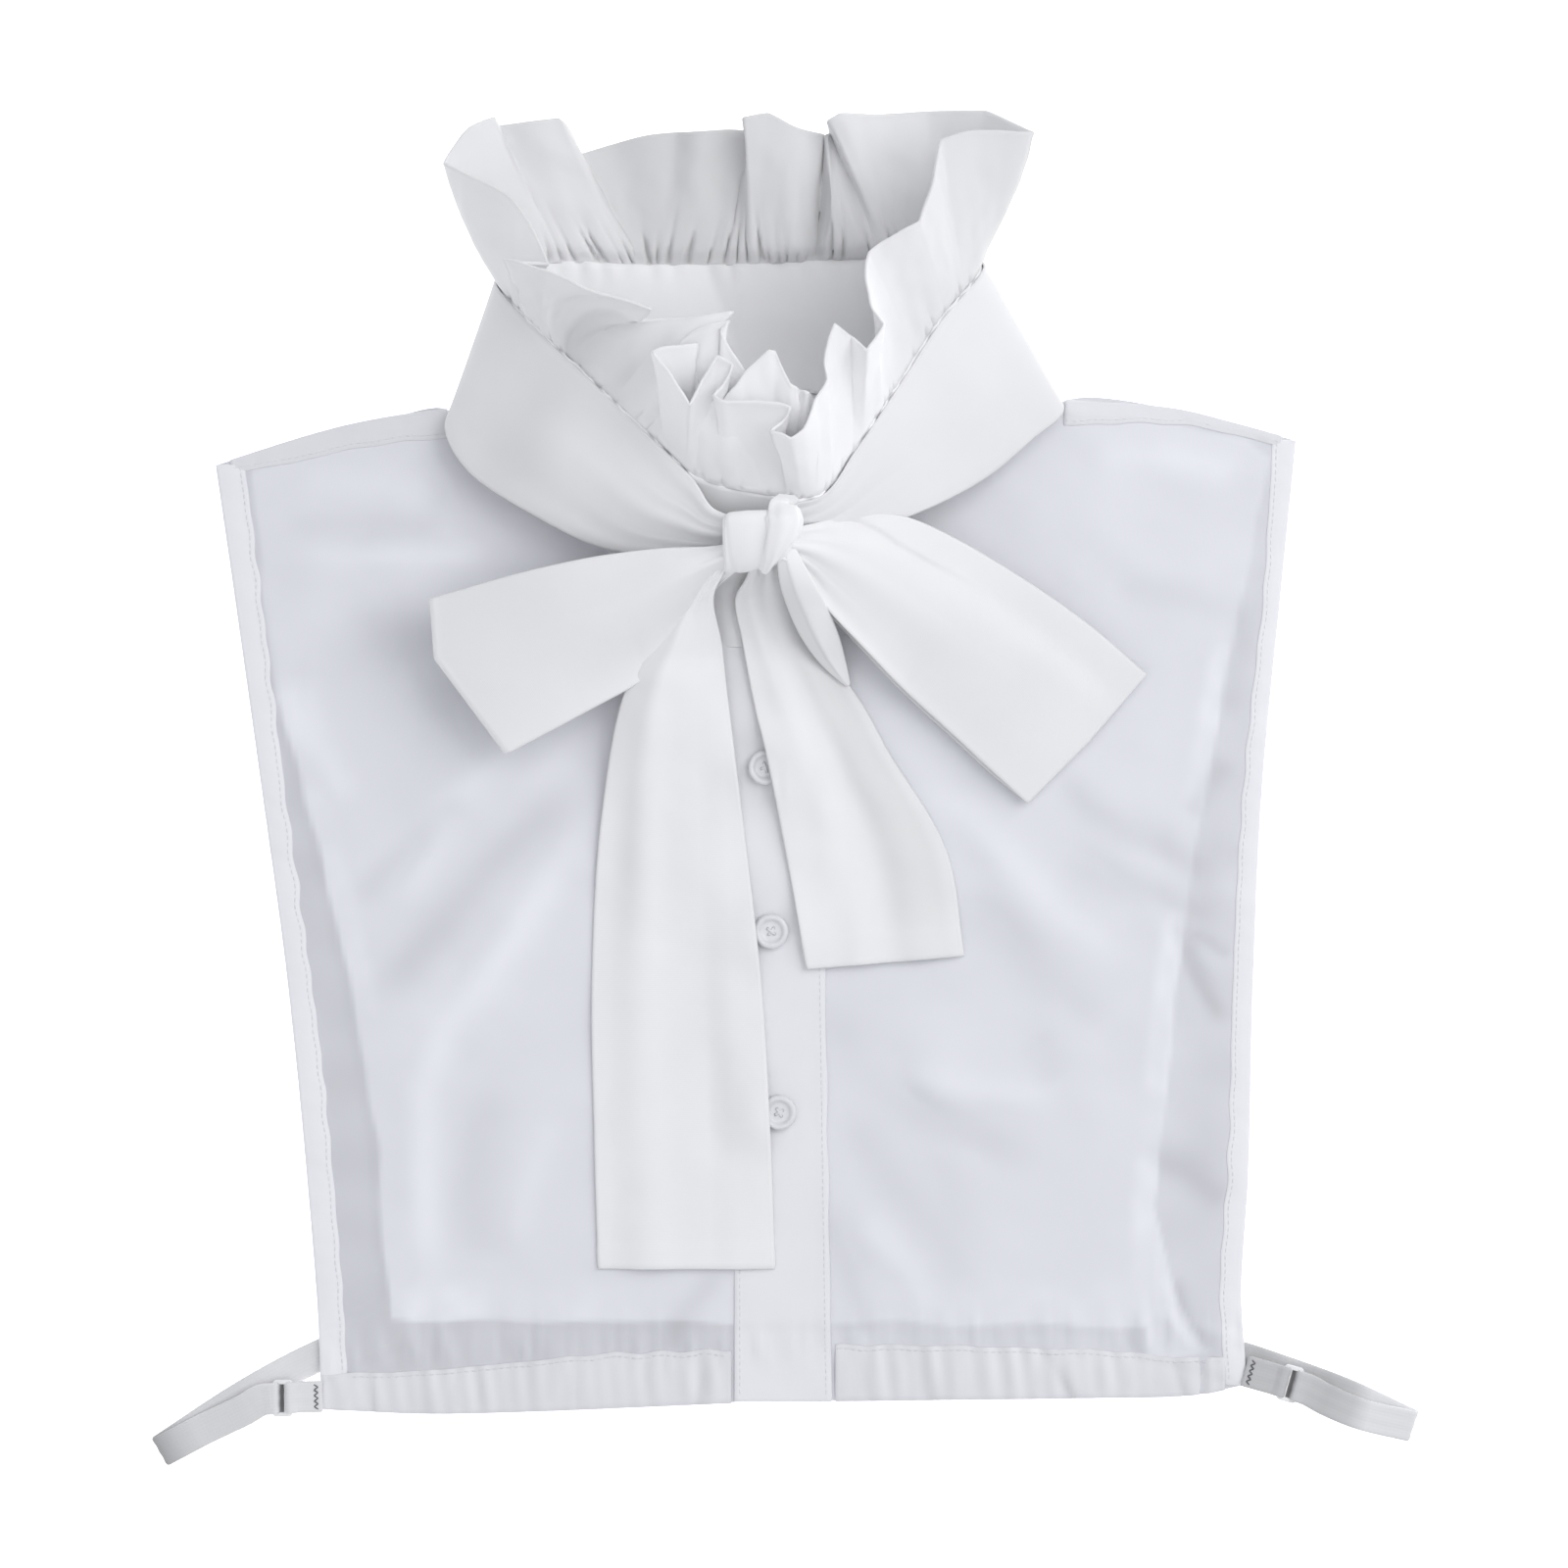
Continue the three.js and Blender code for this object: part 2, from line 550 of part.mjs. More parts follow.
// The two halves of the front, each between its side, shoulder, neckline, inner edge and hem
function buildFrontPanels() {
  const { rows, columns } = GRIDS.panel;
  const leftEnd = necklineAt(LEFT_LAP.neckX);
  const leftTop = joined(points(LEFT_SHOULDER), stretch(neckline, LEFT_LAP.shoulder, leftEnd, 7));
  const leftHem = tableCurve([...LEFT_HEM.slice(0, 3), LEFT_LAP.hem], ['x', 'y']);
  const leftInner = straight(neckline.getPointAt(leftEnd), LEFT_LAP.hem);
  const leftSide = tableCurve(LEFT_SIDE, ['x', 'y']);
  const left = patch(edge(leftTop), edge(leftHem), edge(leftSide), edge(leftInner));
  addMesh('front_panel_left', layerSolid(left, frontUnderside, rows, columns, CLOTH), sheerCloth);

  const rightStart = necklineAt(RIGHT_LAP.neckX);
  const rightTop = joined(stretch(neckline, rightStart, RIGHT_LAP.shoulder, 8), points(RIGHT_SHOULDER));
  const rightHem = tableCurve([RIGHT_LAP.hem, ...RIGHT_HEM], ['x', 'y']);
  const rightInner = straight(neckline.getPointAt(rightStart), RIGHT_LAP.hem);
  const rightSide = tableCurve(RIGHT_SIDE, ['x', 'y']);
  const right = patch(edge(rightTop), edge(rightHem), edge(rightInner), edge(rightSide));
  addMesh('front_panel_right', layerSolid(right, frontUnderside, rows, columns, CLOTH), sheerCloth);
}

// Strip of doubled cloth sewn along one edge of the front, lying on it
function buildTrim(trim) {
  const outer = tableCurve(trim.rows, ['x', 'y']);
  const inward = new THREE.Vector3(trim.inX, trim.inY, 0);
  const outline = (u, v) => {
    const t = lerp(trim.from, trim.to, u);
    return outer.getPointAt(t).addScaledVector(inward, v * tableValue(trim.rows, 'band', t));
  };
  addMesh(trim.name, layerSolid(outline, trimUnderside, 3, trim.columns, CLOTH), tieCloth);
}

// Button band down the middle, lapped over the right half, its upper right corner cut off
function buildPlacket() {
  const outline = (u, v) => {
    const y = lerp(PLACKET.top, PLACKET.bottom, u);
    const right = lerp(PLACKET.rightTop, PLACKET.rightBottom, u) - (u === 0 ? PLACKET.corner : 0);
    return new THREE.Vector3(lerp(PLACKET.left, right, v), y, 0);
  };
  const { rows, columns } = GRIDS.placket;
  addMesh('placket', layerSolid(outline, trimUnderside, rows, columns, CLOTH), tieCloth);
}

function buildStand() {
  const surface = (u, v) => {
    const base = neckSeam.getPointAt(u);
    const top = topSeam.getPointAt(u);
    const point = base.lerp(top, v);
    point.z = Math.max(point.z, STAND_FLOOR);
    return point;
  };
  const { rows, columns } = GRIDS.stand;
  addMesh('collar_stand', clothSolid(surface, rows, columns, CLOTH, true), tieCloth);
}

// Ruffle gathered on the upper seam, each fold running out from it to its point on the free edge
function buildRuffle() {
  const length = topSeam.getLength();
  const seamPoints = RUFFLE_FOLDS.map((row) => topSeam.getPointAt(row.seam / length));
  const seam = new THREE.CatmullRomCurve3(seamPoints, true, 'centripetal');
  const free = tableCurve(RUFFLE_FOLDS, ['x', 'y', 'z'], true);
  const surface = (u, v) => {
    const inner = seam.getPoint(u);
    const outer = free.getPoint(u);
    return inner.lerp(outer, lerp(RUFFLE_START, 1, v));
  };
  const columns = RUFFLE_FOLDS.length * GRIDS.ruffle.columnsPerFold;
  addMesh('ruffle', clothSolid(surface, GRIDS.ruffle.rows, columns, CLOTH, true), tieCloth);
}

function buildNeckBand() {
  const upper = tableCurve(BAND, ['ux', 'uy', 'uz'], true);
  const lower = tableCurve(BAND, ['lx', 'ly', 'lz'], true);
  const surface = (u, v) => {
    const point = lower.getPoint(u).lerp(upper.getPoint(u), v);
    const toKnot = Math.hypot(point.x - KNOT[2].x, point.y - KNOT[2].y);
    const nearKnot = 1 - smooth(toKnot, BAND_CREASES.start, BAND_CREASES.reach);
    point.z += BAND_CREASES.depth * nearKnot * Math.sin(BAND_CREASES.count * Math.PI * v) ** 2;
    point.z = Math.max(point.z, BAND_FLOOR);
    return point;
  };
  const { rows, columns } = GRIDS.band;
  addMesh('tie_neck_band', clothSolid(surface, rows, columns, RIBBON, true), tieCloth);
}

// Loop of the bow: out from the knot on the under layer, round its closed end and back on the over layer
function buildLoop(name, table) {
  const upper = tableCurve(table, ['ux', 'uy']);
  const lower = tableCurve(table, ['lx', 'ly']);
  const outwards = upper.getTangent(1).add(lower.getTangent(1)).normalize();
  const surface = (u, v) => {
    const side = u * 2 - 1;
    const reach = 1 - Math.abs(side);
    const t = Math.min(1, reach / (1 - LOOP_TURN));
    const turned = Math.max(0, reach - (1 - LOOP_TURN)) / LOOP_TURN * (Math.PI / 2);
    const point = upper.getPoint(t).lerp(lower.getPoint(t), v);
    const under = tableValue(table, 'under', t);
    const over = tableValue(table, 'over', t);
    const half = (over - under) / 2;
    point.z = (under + over) / 2 + (side < 0 ? -1 : 1) * half * Math.cos(turned);
    return point.addScaledVector(outwards, Math.min(half, LOOP_END) * Math.sin(turned));
  };
  const { rows, columns } = GRIDS.loop;
  addMesh(name, clothSolid(surface, rows, columns, RIBBON), tieCloth);
}

// Tail of the bow, lying on the front and climbing over the buttons beside the placket
function buildTail(name, table) {
  const left = tableCurve(table, ['lx', 'ly']);
  const right = tableCurve(table, ['rx', 'ry']);
  const outline = (u, v) => {
    const point = left.getPoint(v).lerp(right.getPoint(v), u);
    const away = (u - TAIL_FOLD.at) / TAIL_FOLD.width;
    const fold = TAIL_FOLD.height * Math.exp(-away * away) + Math.sin(Math.PI * u);
    point.z = tableValue(table, 'lift', v) + fold * smooth(v, 0, TAIL_FOLD.start);
    return point;
  };
  const overButtons = CLOTH + GAP + BUTTON.height + GAP;
  const underside = (x, y) => {
    const climb = 1 - smooth(Math.abs(x), TAIL_LIFT.to, TAIL_LIFT.from);
    return trimUnderside(x, y) + overButtons * climb;
  };
  const { rows, columns } = GRIDS.tail;
  addMesh(name, layerSolid(outline, underside, rows, columns, RIBBON), tieCloth);
}

function buildButtons() {
  const button = new THREE.LatheGeometry([
    new THREE.Vector2(0, 0),
    new THREE.Vector2(BUTTON.foot, 0),
    new THREE.Vector2(BUTTON.radius, BUTTON.height * 0.55),
    new THREE.Vector2(BUTTON.radius - BUTTON.rim / 2, BUTTON.height),
    new THREE.Vector2(BUTTON.radius - BUTTON.rim * 1.5, BUTTON.height - BUTTON.dish),
    new THREE.Vector2(0, BUTTON.height - BUTTON.dish),
  ], BUTTON.sides);
  BUTTONS.forEach((place, i) => {
    const mesh = addMesh(`button_${i + 1}`, button.clone(), pearl);
    mesh.rotation.x = Math.PI / 2;
    mesh.position.set(place.x, place.y, trimUnderside(place.x, place.y) + CLOTH + GAP);
  });
}

// Solid through rings of points, closed at both ends by a fan about its middle
function ringSolid(rings) {
  const sides = rings[0].length;
  const positions = rings.flat().flatMap((p) => [p.x, p.y, p.z]);
  const index = [];
  const at = (r, c) => r * sides + (c % sides);
  for (let r = 0; r < rings.length - 1; r += 1) {
    for (let c = 0; c < sides; c += 1) {
      index.push(at(r, c), at(r, c + 1), at(r + 1, c + 1));
      index.push(at(r, c), at(r + 1, c + 1), at(r + 1, c));
    }
  }
  for (const r of [0, rings.length - 1]) {
    const middle = rings[r].reduce((sum, p) => sum.add(p), new THREE.Vector3()).divideScalar(sides);
    const centre = positions.length / 3;
    positions.push(middle.x, middle.y, middle.z);
    for (let c = 0; c < sides; c += 1) {
      const pair = r === 0 ? [at(r, c + 1), at(r, c)] : [at(r, c), at(r, c + 1)];
      index.push(centre, ...pair);
    }
  }
  return closedGeometry(positions, index);
}

// Knot of the tie, a barrel across the front of the neck
function buildKnot() {
  const up = new THREE.Vector3(0, Math.cos(KNOT_SLOPE), Math.sin(KNOT_SLOPE));
  const out = new THREE.Vector3(0, -Math.sin(KNOT_SLOPE), Math.cos(KNOT_SLOPE));
  const rings = KNOT.map((section) => {
    const ring = [];
    for (let i = 0; i < GRIDS.knotSides; i += 1) {
      const angle = (i / GRIDS.knotSides) * Math.PI * 2;
      const point = new THREE.Vector3(section.x, section.y, section.z);
      point.addScaledVector(up, section.tall * Math.cos(angle));
      ring.push(point.addScaledVector(out, section.deep * Math.sin(angle)));
    }
    return ring;
  });
  addMesh('bow_knot', ringSolid(rings), tieCloth);
}

// Flat strip of elastic about a path, its width kept level
function stripSolid(path, count) {
  const surface = (u, v) => {
    const { point, across } = path(u);
    return point.addScaledVector(across, (v - 0.5) * ELASTIC.width);
  };
  return clothSolid(surface, 2, count, ELASTIC.wall);
}

const ELASTIC_TOP = FRONT_LEVEL + CLOTH + GAP + ELASTIC.wall / 2; // middle of the strand at the hem
const ELASTIC_UPPER = 2.3; // middle of the upper strand at the tip
const ELASTIC_LOWER = ELASTIC.wall / 2;

// Level direction square to a curve
function levelAcross(curve, t) {
  const along = curve.getTangent(t);
  return new THREE.Vector3(-along.y, along.x, 0).normalize();
}

function buildTab(side, plan) {
  const tab = straight(...plan.tab);
  const path = (u) => {
    const point = tab.getPoint(u);
    point.z = ELASTIC_TOP;
    return { point, across: levelAcross(tab, u) };
  };
  addMesh(`elastic_tab_${side}`, stripSolid(path, 3), webbing);
}

// Strand from the slider to its tip and back under itself to the corner of the back
function buildStrand(side, plan) {
  const out = tableCurve(plan.out, ['x', 'y']);
  const back = tableCurve(plan.back, ['x', 'y']);
  const radius = (ELASTIC_UPPER - ELASTIC_LOWER) / 2;
  const outPath = (t) => {
    const point = out.getPoint(t);
    point.z = lerp(ELASTIC_TOP, ELASTIC_UPPER, smooth(t, 0, 0.7));
    return { point, across: levelAcross(out, t) };
  };
  const backPath = (t) => {
    const point = back.getPoint(t);
    point.z = ELASTIC_LOWER;
    return { point, across: levelAcross(back, t).negate() };
  };
  const tipPath = (t) => {
    const point = out.getPoint(1).lerp(back.getPoint(0), t);
    point.addScaledVector(out.getTangent(1), radius * Math.sin(t * Math.PI));
    point.z = ELASTIC_LOWER + radius + radius * Math.cos(t * Math.PI);
    return { point, across: outPath(1).across.lerp(backPath(0).across, t).normalize() };
  };
  const path = (u) => {
    if (u < 0.5 - STRAND_TURN) {
      return outPath(u / (0.5 - STRAND_TURN));
    }
    if (u > 0.5 + STRAND_TURN) {
      return backPath((u - 0.5 - STRAND_TURN) / (0.5 - STRAND_TURN));
    }
    return tipPath((u - 0.5 + STRAND_TURN) / (2 * STRAND_TURN));
  };
  addMesh(`elastic_${side}`, stripSolid(path, GRIDS.strand), webbing);
}

// Plate with cut corners and two slots, one a little shorter than the other
function buildSlider(side, plan) {
  const long = SLIDER.length / 2;
  const wide = SLIDER.width / 2;
  const plate = new THREE.Shape();
  plate.moveTo(-wide, SLIDER.corner - long);
  plate.lineTo(SLIDER.corner - wide, -long);
  plate.lineTo(wide - SLIDER.corner, -long);
  plate.lineTo(wide, SLIDER.corner - long);
  plate.lineTo(wide, long - SLIDER.corner);
  plate.lineTo(wide - SLIDER.corner, long);
  plate.lineTo(SLIDER.corner - wide, long);
  plate.lineTo(-wide, long - SLIDER.corner);
  const slot = (SLIDER.width - 3 * SLIDER.bar) / 2;
  for (const x of [-SLIDER.bar / 2 - slot, SLIDER.bar / 2]) {
    const end = long - SLIDER.bar - (x > 0 ? SLIDER.slotStep : 0);
    const hole = new THREE.Path();
    hole.moveTo(x, -end);
    hole.lineTo(x, end);
    hole.lineTo(x + slot, end);
    hole.lineTo(x + slot, -end);
    plate.holes.push(hole);
  }
  const geometry = new THREE.ExtrudeGeometry(plate, { depth: SLIDER.height, bevelEnabled: false });
  geometry.deleteAttribute('uv');
  const mesh = addMesh(`slider_${side}`, geometry, whitePlastic);
  mesh.position.set(plan.slider.x, plan.slider.y, ELASTIC_TOP - SLIDER.height / 2);
  mesh.rotation.z = THREE.MathUtils.degToRad(plan.slider.turn);
}

function buildElastic(side, plan) {
  buildTab(side, plan);
  buildStrand(side, plan);
  buildSlider(side, plan);
}

buildBack();
buildFrontPanels();
TRIMS.forEach(buildTrim);
buildPlacket();
buildStand();
buildRuffle();
buildNeckBand();
buildLoop('bow_loop_left', LOOP_LEFT);
buildLoop('bow_loop_right', LOOP_RIGHT);
buildTail('bow_tail_left', TAIL_LEFT);
buildTail('bow_tail_right', TAIL_RIGHT);
buildKnot();
buildButtons();
buildElastic('left', ELASTIC_LEFT);
buildElastic('right', ELASTIC_RIGHT);

// The origin is the middle of the footprint, on the table
const extent = new THREE.Box3().setFromObject(group, true);
const middle = extent.getCenter(new THREE.Vector3());
group.position.set(-middle.x, -middle.y, -extent.min.z);

export default group;
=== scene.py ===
import math

import bmesh
import bpy
import numpy as np
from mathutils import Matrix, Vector


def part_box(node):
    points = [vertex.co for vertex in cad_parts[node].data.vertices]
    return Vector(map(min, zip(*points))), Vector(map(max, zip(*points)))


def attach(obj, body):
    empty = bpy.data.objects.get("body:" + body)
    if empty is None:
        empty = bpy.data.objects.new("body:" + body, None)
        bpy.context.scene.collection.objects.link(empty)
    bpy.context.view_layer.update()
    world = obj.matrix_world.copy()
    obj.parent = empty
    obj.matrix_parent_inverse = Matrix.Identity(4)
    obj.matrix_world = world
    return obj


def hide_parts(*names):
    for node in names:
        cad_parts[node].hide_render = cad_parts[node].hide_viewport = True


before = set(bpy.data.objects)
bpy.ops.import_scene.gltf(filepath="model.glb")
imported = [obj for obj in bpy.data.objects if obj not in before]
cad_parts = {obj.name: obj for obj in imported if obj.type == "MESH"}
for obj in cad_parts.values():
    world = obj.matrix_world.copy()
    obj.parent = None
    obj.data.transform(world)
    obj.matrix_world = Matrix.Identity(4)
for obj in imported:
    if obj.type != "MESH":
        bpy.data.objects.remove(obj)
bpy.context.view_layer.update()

# Tables and shapes are in millimetres in the garment's own plan, X to the right and Y towards the collar.
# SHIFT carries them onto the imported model, whose origin is the middle of its footprint.
MM = 0.001
BACK_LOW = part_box("back_panel")[0]
BACK_LOW_IN_PLAN = (-174.0, -176.6)
SHIFT = np.array([BACK_LOW[0] / MM - BACK_LOW_IN_PLAN[0], BACK_LOW[1] / MM - BACK_LOW_IN_PLAN[1], 0.0])

# Camera and light. Each lamp has a name, a place and a size in metres, and a power in watts.
VIEW_HEIGHT = 1500.0
PIXEL = 0.32
PHOTO_PIXELS = 1600
SENSOR = 36.0
LAMPS = [
    ("key", (1.05, 0.55, 1.2), 1.4, 12),
    ("top", (0.1, 0.05, 1.9), 2.2, 12),
    ("fill", (-0.9, -0.9, 0.8), 1.2, 2.5),
]
TABLE_SIZE = 12
TABLE_DROP = 0.0004
SKY_COLOUR = (0.93, 0.95, 1.0)
SKY_STRENGTH = 0.43

# Cloth: how thick it is, and the heights at which it lies
THIN = 0.45
TRIM_WALL = 0.5
RIBBON = 0.9
STAND_WALL = 0.8
EDGE_ROUNDING = 0.45
BACK_LEVEL = 0.36
BACK_HEM_LEVEL = 0.72
BACK_HEM_WALL = 0.25
FRONT_LEVEL = 1.4
FRONT_ON_BACK = 0.95
FRONT_ON_FLOOR = 0.3
FRONT_ON_ELASTIC = 1.35
BAND_FLOOR = 0.5
STAND_FLOOR = 1.5
RUFFLE_FLOOR = 0.6
MOUND = dict(x=-3, y=74, height=7.5, reach=74)
TAIL_HEM = 5.0
# Columns of the ruffle: at most this far apart along its seam and along its free edge
SEAM_STEP = 0.62
EDGE_STEP = 1.5
# Share of a loop's length over which it turns round its closed end
LOOP_TURN = 0.1
# How many waves, each with its own size and direction, are added up to irregular ones
WAVES = 9
RIPPLES = 7
# Weave, and the scale at which a wave texture has a band to every millimetre
WEAVE_PITCH = 0.34
BAND_SCALE = 314.0

# Stitches, and how far they are from the edge
STITCH_PITCH = 2.3
STITCH_LENGTH = 1.5
STITCH_RADIUS = 0.17
STITCH_INSET = 1.4
PLACKET_STITCH_INSET = 1.6
TAB_STITCH_RADIUS = 0.22
BUTTON_THREAD_RADIUS = 0.45


def rows(header, values):
    """Table with named columns: a dict of arrays, one for each word of the header."""
    array = np.array(values, float)
    return {name: array[:, i] for i, name in enumerate(header.split())}


def each(table):
    """The rows of a table, one after the other."""
    return zip(*table.values())


FRONT_RIDGES = rows("x0 y0 x1 y1 height width", [
    (-52, 44, -138, -24, 3.2, 9), (-70, 20, -134, -80, 3.0, 9), (-86, -40, -120, -140, 2.6, 10),
    (-100, 96, -168, 52, 2.4, 9), (62, -4, 104, -110, 3.2, 10), (96, 2, 138, -70, 3.0, 9),
    (40, -70, 66, -150, 2.4, 10), (96, 88, 150, 44, 2.6, 10),
])
# Folds that only the dressed model has: height, width, and the line that each follows
FRONT_FOLDS = [
    (-2.2, 7, [(-66, 2), (-79, -11.5), (-97, -27), (-110, -44), (-125.5, -62), (-136.5, -73)]),
    (2.0, 7, [
        (-64, -9), (-75, -27), (-88, -49), (-101, -66), (-112, -80), (-119, -101), (-119, -139),
        (-114.5, -172),
    ]),
    (1.3, 6, [(-90, 10), (-110, -7), (-117, -25), (-128, -42)]),
    (-1.4, 5, [(-104, -2), (-119, -18), (-142, -40)]),
    (-1.3, 9, [(-92, -96), (-100, -115), (-101, -135), (-96, -158)]),
    (0.9, 6, [(-76, -108), (-84, -130), (-92, -154)]),
    (-0.9, 5, [(-166, 84), (-140, 84.5), (-110, 83)]),
    (1.2, 5, [(-164, 75), (-130, 74), (-94, 75)]),
    (1.0, 7, [(-162, 98), (-134, 97), (-112, 92)]),
    (1.0, 5, [(-158, 36), (-154, 14), (-142, -8)]),
    (-1.6, 4, [(-20, -158), (-32, -172), (-40, -188)]),
    (-1.7, 5, [(86, 5), (98, -9), (109, -16), (124, -20), (142, -33)]),
    (-1.4, 5, [(88, -24), (107, -33), (124, -37), (144, -45)]),
    (-1.8, 8, [(56, -36), (74, -51), (87, -64), (106, -81)]),
    (-1.8, 7, [(10, -66), (23, -86), (45, -108), (65, -115), (86, -125)]),
    (-1.5, 7, [(18, -104), (36.5, -132), (54, -152), (62, -168)]),
    (-1.8, 4.5, [(11, -136), (21, -158.7), (27, -182)]),
    (-0.9, 5, [(79, -82), (88, -99)]),
    (-2.0, 3.2, [(127, -42), (133, -60), (145, -80)]),
    (-1.2, 2.2, [(132, -48), (139, -52), (146, -57)]),
    (-1.6, 5, [(116, -121), (131, -126), (146, -138)]),
    (-1.7, 2.2, [(127.5, -160), (130.6, -173), (139, -186)]),
    (0.9, 2.0, [(124, -160), (127, -174), (135, -186)]),
    (1.2, 6, [(40, 0), (60, -12), (84, -38), (112, -60)]),
    (1.3, 6, [(16, -82), (36, -96), (60, -100), (92, -104)]),
    (1.0, 5, [(22, -140), (40, -160), (50, -178)]),
    (-1.1, 4, [(150, 64), (148, 40), (144, 20)]),
    (-1.2, 4, [(146, 8), (138, 0), (132, -12)]),
    (1.0, 6, [(96, 104), (124, 106), (150, 100)]),
    (-0.8, 6, [(104, 62), (132, 60), (150, 54)]),
]
# How strongly the folds are painted on the cloth, as shade in their hollows and highlight on their ridges,
# and how much of the solid's ridges the dressed front has
FOLD_TONE = 0.26
RIDGE_SHARE = 0.6
# Where the back's own hems show lighter through the front: by height at its sides, by X along its bottom
GLOW_LEFT = rows("y amount", [
    (70, 0), (36, 0.15), (29, 0.7), (16, 0.7), (9, 0.25), (1, 0.25), (-5, 0.5), (-13, 0.45), (-19, 0.2),
    (-26, 0.6), (-37, 0.6), (-44, 0.25), (-52, 0.6), (-66, 0.55), (-76, 0.1), (-110, 0.05), (-150, 0.2),
    (-172, 0.6),
])
GLOW_RIGHT = rows("y amount", [
    (80, 0), (47, 0.1), (41, 0.8), (22, 0.8), (12, 0.5), (-3, 0.6), (-12, 0.15), (-41, 0.1), (-46, 0.9),
    (-64, 1.0), (-82, 0.85), (-97, 0.75), (-103, 0.15), (-119, 0.15), (-124, 0.9), (-144, 0.9), (-152, 0.5),
    (-172, 0.35),
])
GLOW_BOTTOM = rows("x amount", [
    (-128, 0.5), (-122, 0.8), (-104, 0.85), (-95, 0.2), (-78, 0.15), (-68, 0.45), (-52, 0.45), (-42, 0.15),
    (0, 0.1), (60, 0.2), (84, 0.35), (96, 0.3), (120, 0.3),
])
# Painted shadow of the bow's left loop on the left front, and painted light that lifts the shade between the
# loop and the neck band
FRONT_PAINTED_SHADOW_AND_LIGHT = rows("x y rx ry amount", [
    (-128, 49, 15, 12, 0.95), (-110, 27, 11, 10, 0.6), (-57, 80, 24, 9, -0.9),
])
LEFT_SIDE = rows("x y band", [
    (-185, 104, 9), (-179.2, 64, 8), (-170.2, 0, 7), (-161.6, -64, 7), (-155.2, -128, 8), (-151.2, -180, 8),
    (-150.4, -203.5, 8),
])
RIGHT_SIDE = rows("x y band", [
    (166.6, 112, 7), (161.8, 64, 5), (155.6, 0, 5.5), (152.6, -64, 6), (151, -128, 6), (148.8, -166, 6.5),
    (150.4, -196, 6.5),
])
LEFT_SHOULDER = rows("x y band", [
    (-185, 104, 3), (-148, 115.4, 7), (-128, 119.6, 8), (-110, 122, 9),
])
RIGHT_SHOULDER = rows("x y band", [
    (92, 125, 8), (128, 122, 5.5), (147, 117.4, 3.5), (166.6, 112, 3),
])
LEFT_HEM = rows("x y band", [
    (-150.4, -203.5, 11), (-120, -205, 14.5), (-96, -204.8, 17.5), (-16, -201.6, 17),
])
RIGHT_HEM = rows("x y band", [
    (15.5, -201, 18), (96, -200, 17), (134, -199, 15), (150.4, -196, 10),
])
# Each half's lower corner under the placket
LEFT_CORNER = (-14, -201.5)
RIGHT_CORNER = (-10, -201)
# The trims: edge, direction inwards, and the share of the edge at which each starts and stops
TRIMS = [
    ("side_binding_left", LEFT_SIDE, (1, 0.02), 0.0, 1.0),
    ("side_binding_right", RIGHT_SIDE, (-1, 0.02), 0.0, 1.0),
    ("hem_left", LEFT_HEM, (0, 1), 0.0, 0.99),
    ("hem_right", RIGHT_HEM, (0, 1), 0.01, 0.95),
    ("shoulder_seam_left", LEFT_SHOULDER, (0.1, -1), 0.06, 1.0),
    ("shoulder_seam_right", RIGHT_SHOULDER, (-0.1, -1), 0.0, 0.94),
]
# Creases across the lower hems: X at the hem's lower and upper edge, half width, and how deep they are and
# how much painted shade darkens them
HEM_CREASES = rows("low high wide dark", [
    (-133.6, -134.4, 0.9, 0.8), (-117, -119, 2.4, 0.5), (-83, -84.5, 2.0, 0.35), (-67, -68, 1.0, 0.4),
    (-28, -24.5, 1.8, 0.6), (28, 24, 1.5, 0.35), (50, 43, 3.6, 0.5), (94.6, 85.6, 1.8, 1.0),
    (131, 127, 1.3, 0.7),
])
# Button band: its left edge tapers down to left_straight
PLACKET = dict(
    left_top=-22.0, left_bottom=-16.0, left_straight=-140.0,
    right_top=11.5, right_bottom=15.4, top=55.0, bottom=-201.3,
)

BACK_LEFT = [(-174, 102), (-165, 28), (-153, -16), (-141.5, -62), (-133, -117), (-128, -174.4)]
BACK_RIGHT = [(120, -176.6), (120.6, -135), (128.4, -60), (137, -5), (145, 40), (158, 106)]
BACK_TOP = [
    (158, 106), (150, 112), (128, 117.4), (94, 121), (80, 125.2), (60, 127),
    (-78, 127), (-96, 125), (-112, 118.6), (-148, 110.4), (-174, 102),
]
BACK_OUTLINE = np.array(BACK_LEFT + BACK_RIGHT + BACK_TOP[1:-1])

# Doubled cloth of a tuck at the front's lower right corner
TUCK = np.array([(118, -125), (125.5, -158), (129, -170), (138, -185), (118, -190)])

# Neck seam from the middle of the back; front is 1 where it stands on the front
NECK_SEAM = rows("x y front", [
    (-9.6, 127.5, 0), (-76.8, 127.5, 0), (-100, 124, 0.7), (-107.5, 116, 1), (-86, 95, 1), (-50, 73, 1),
    (-3.2, 63, 1), (36, 84.4, 1), (64, 102, 1), (84.5, 118, 1), (82, 125, 0.7), (60, 127.5, 0),
])
TOP_SEAM = rows("x y z", [
    (-16, 169.2, 2.4), (-51, 169.2, 2.6), (-75, 169.6, 5), (-91.9, 163.3, 14), (-75.5, 143.1, 26),
    (-56.4, 124.7, 32), (-36.2, 105.4, 37), (-27, 97.4, 38.6), (-10.9, 92.8, 40), (10.9, 92, 40),
    (21.8, 106, 38), (34.4, 125, 34), (48.7, 147.6, 28), (63.3, 168.5, 15), (44.7, 171.4, 5),
    (16, 170.6, 2.6),
])
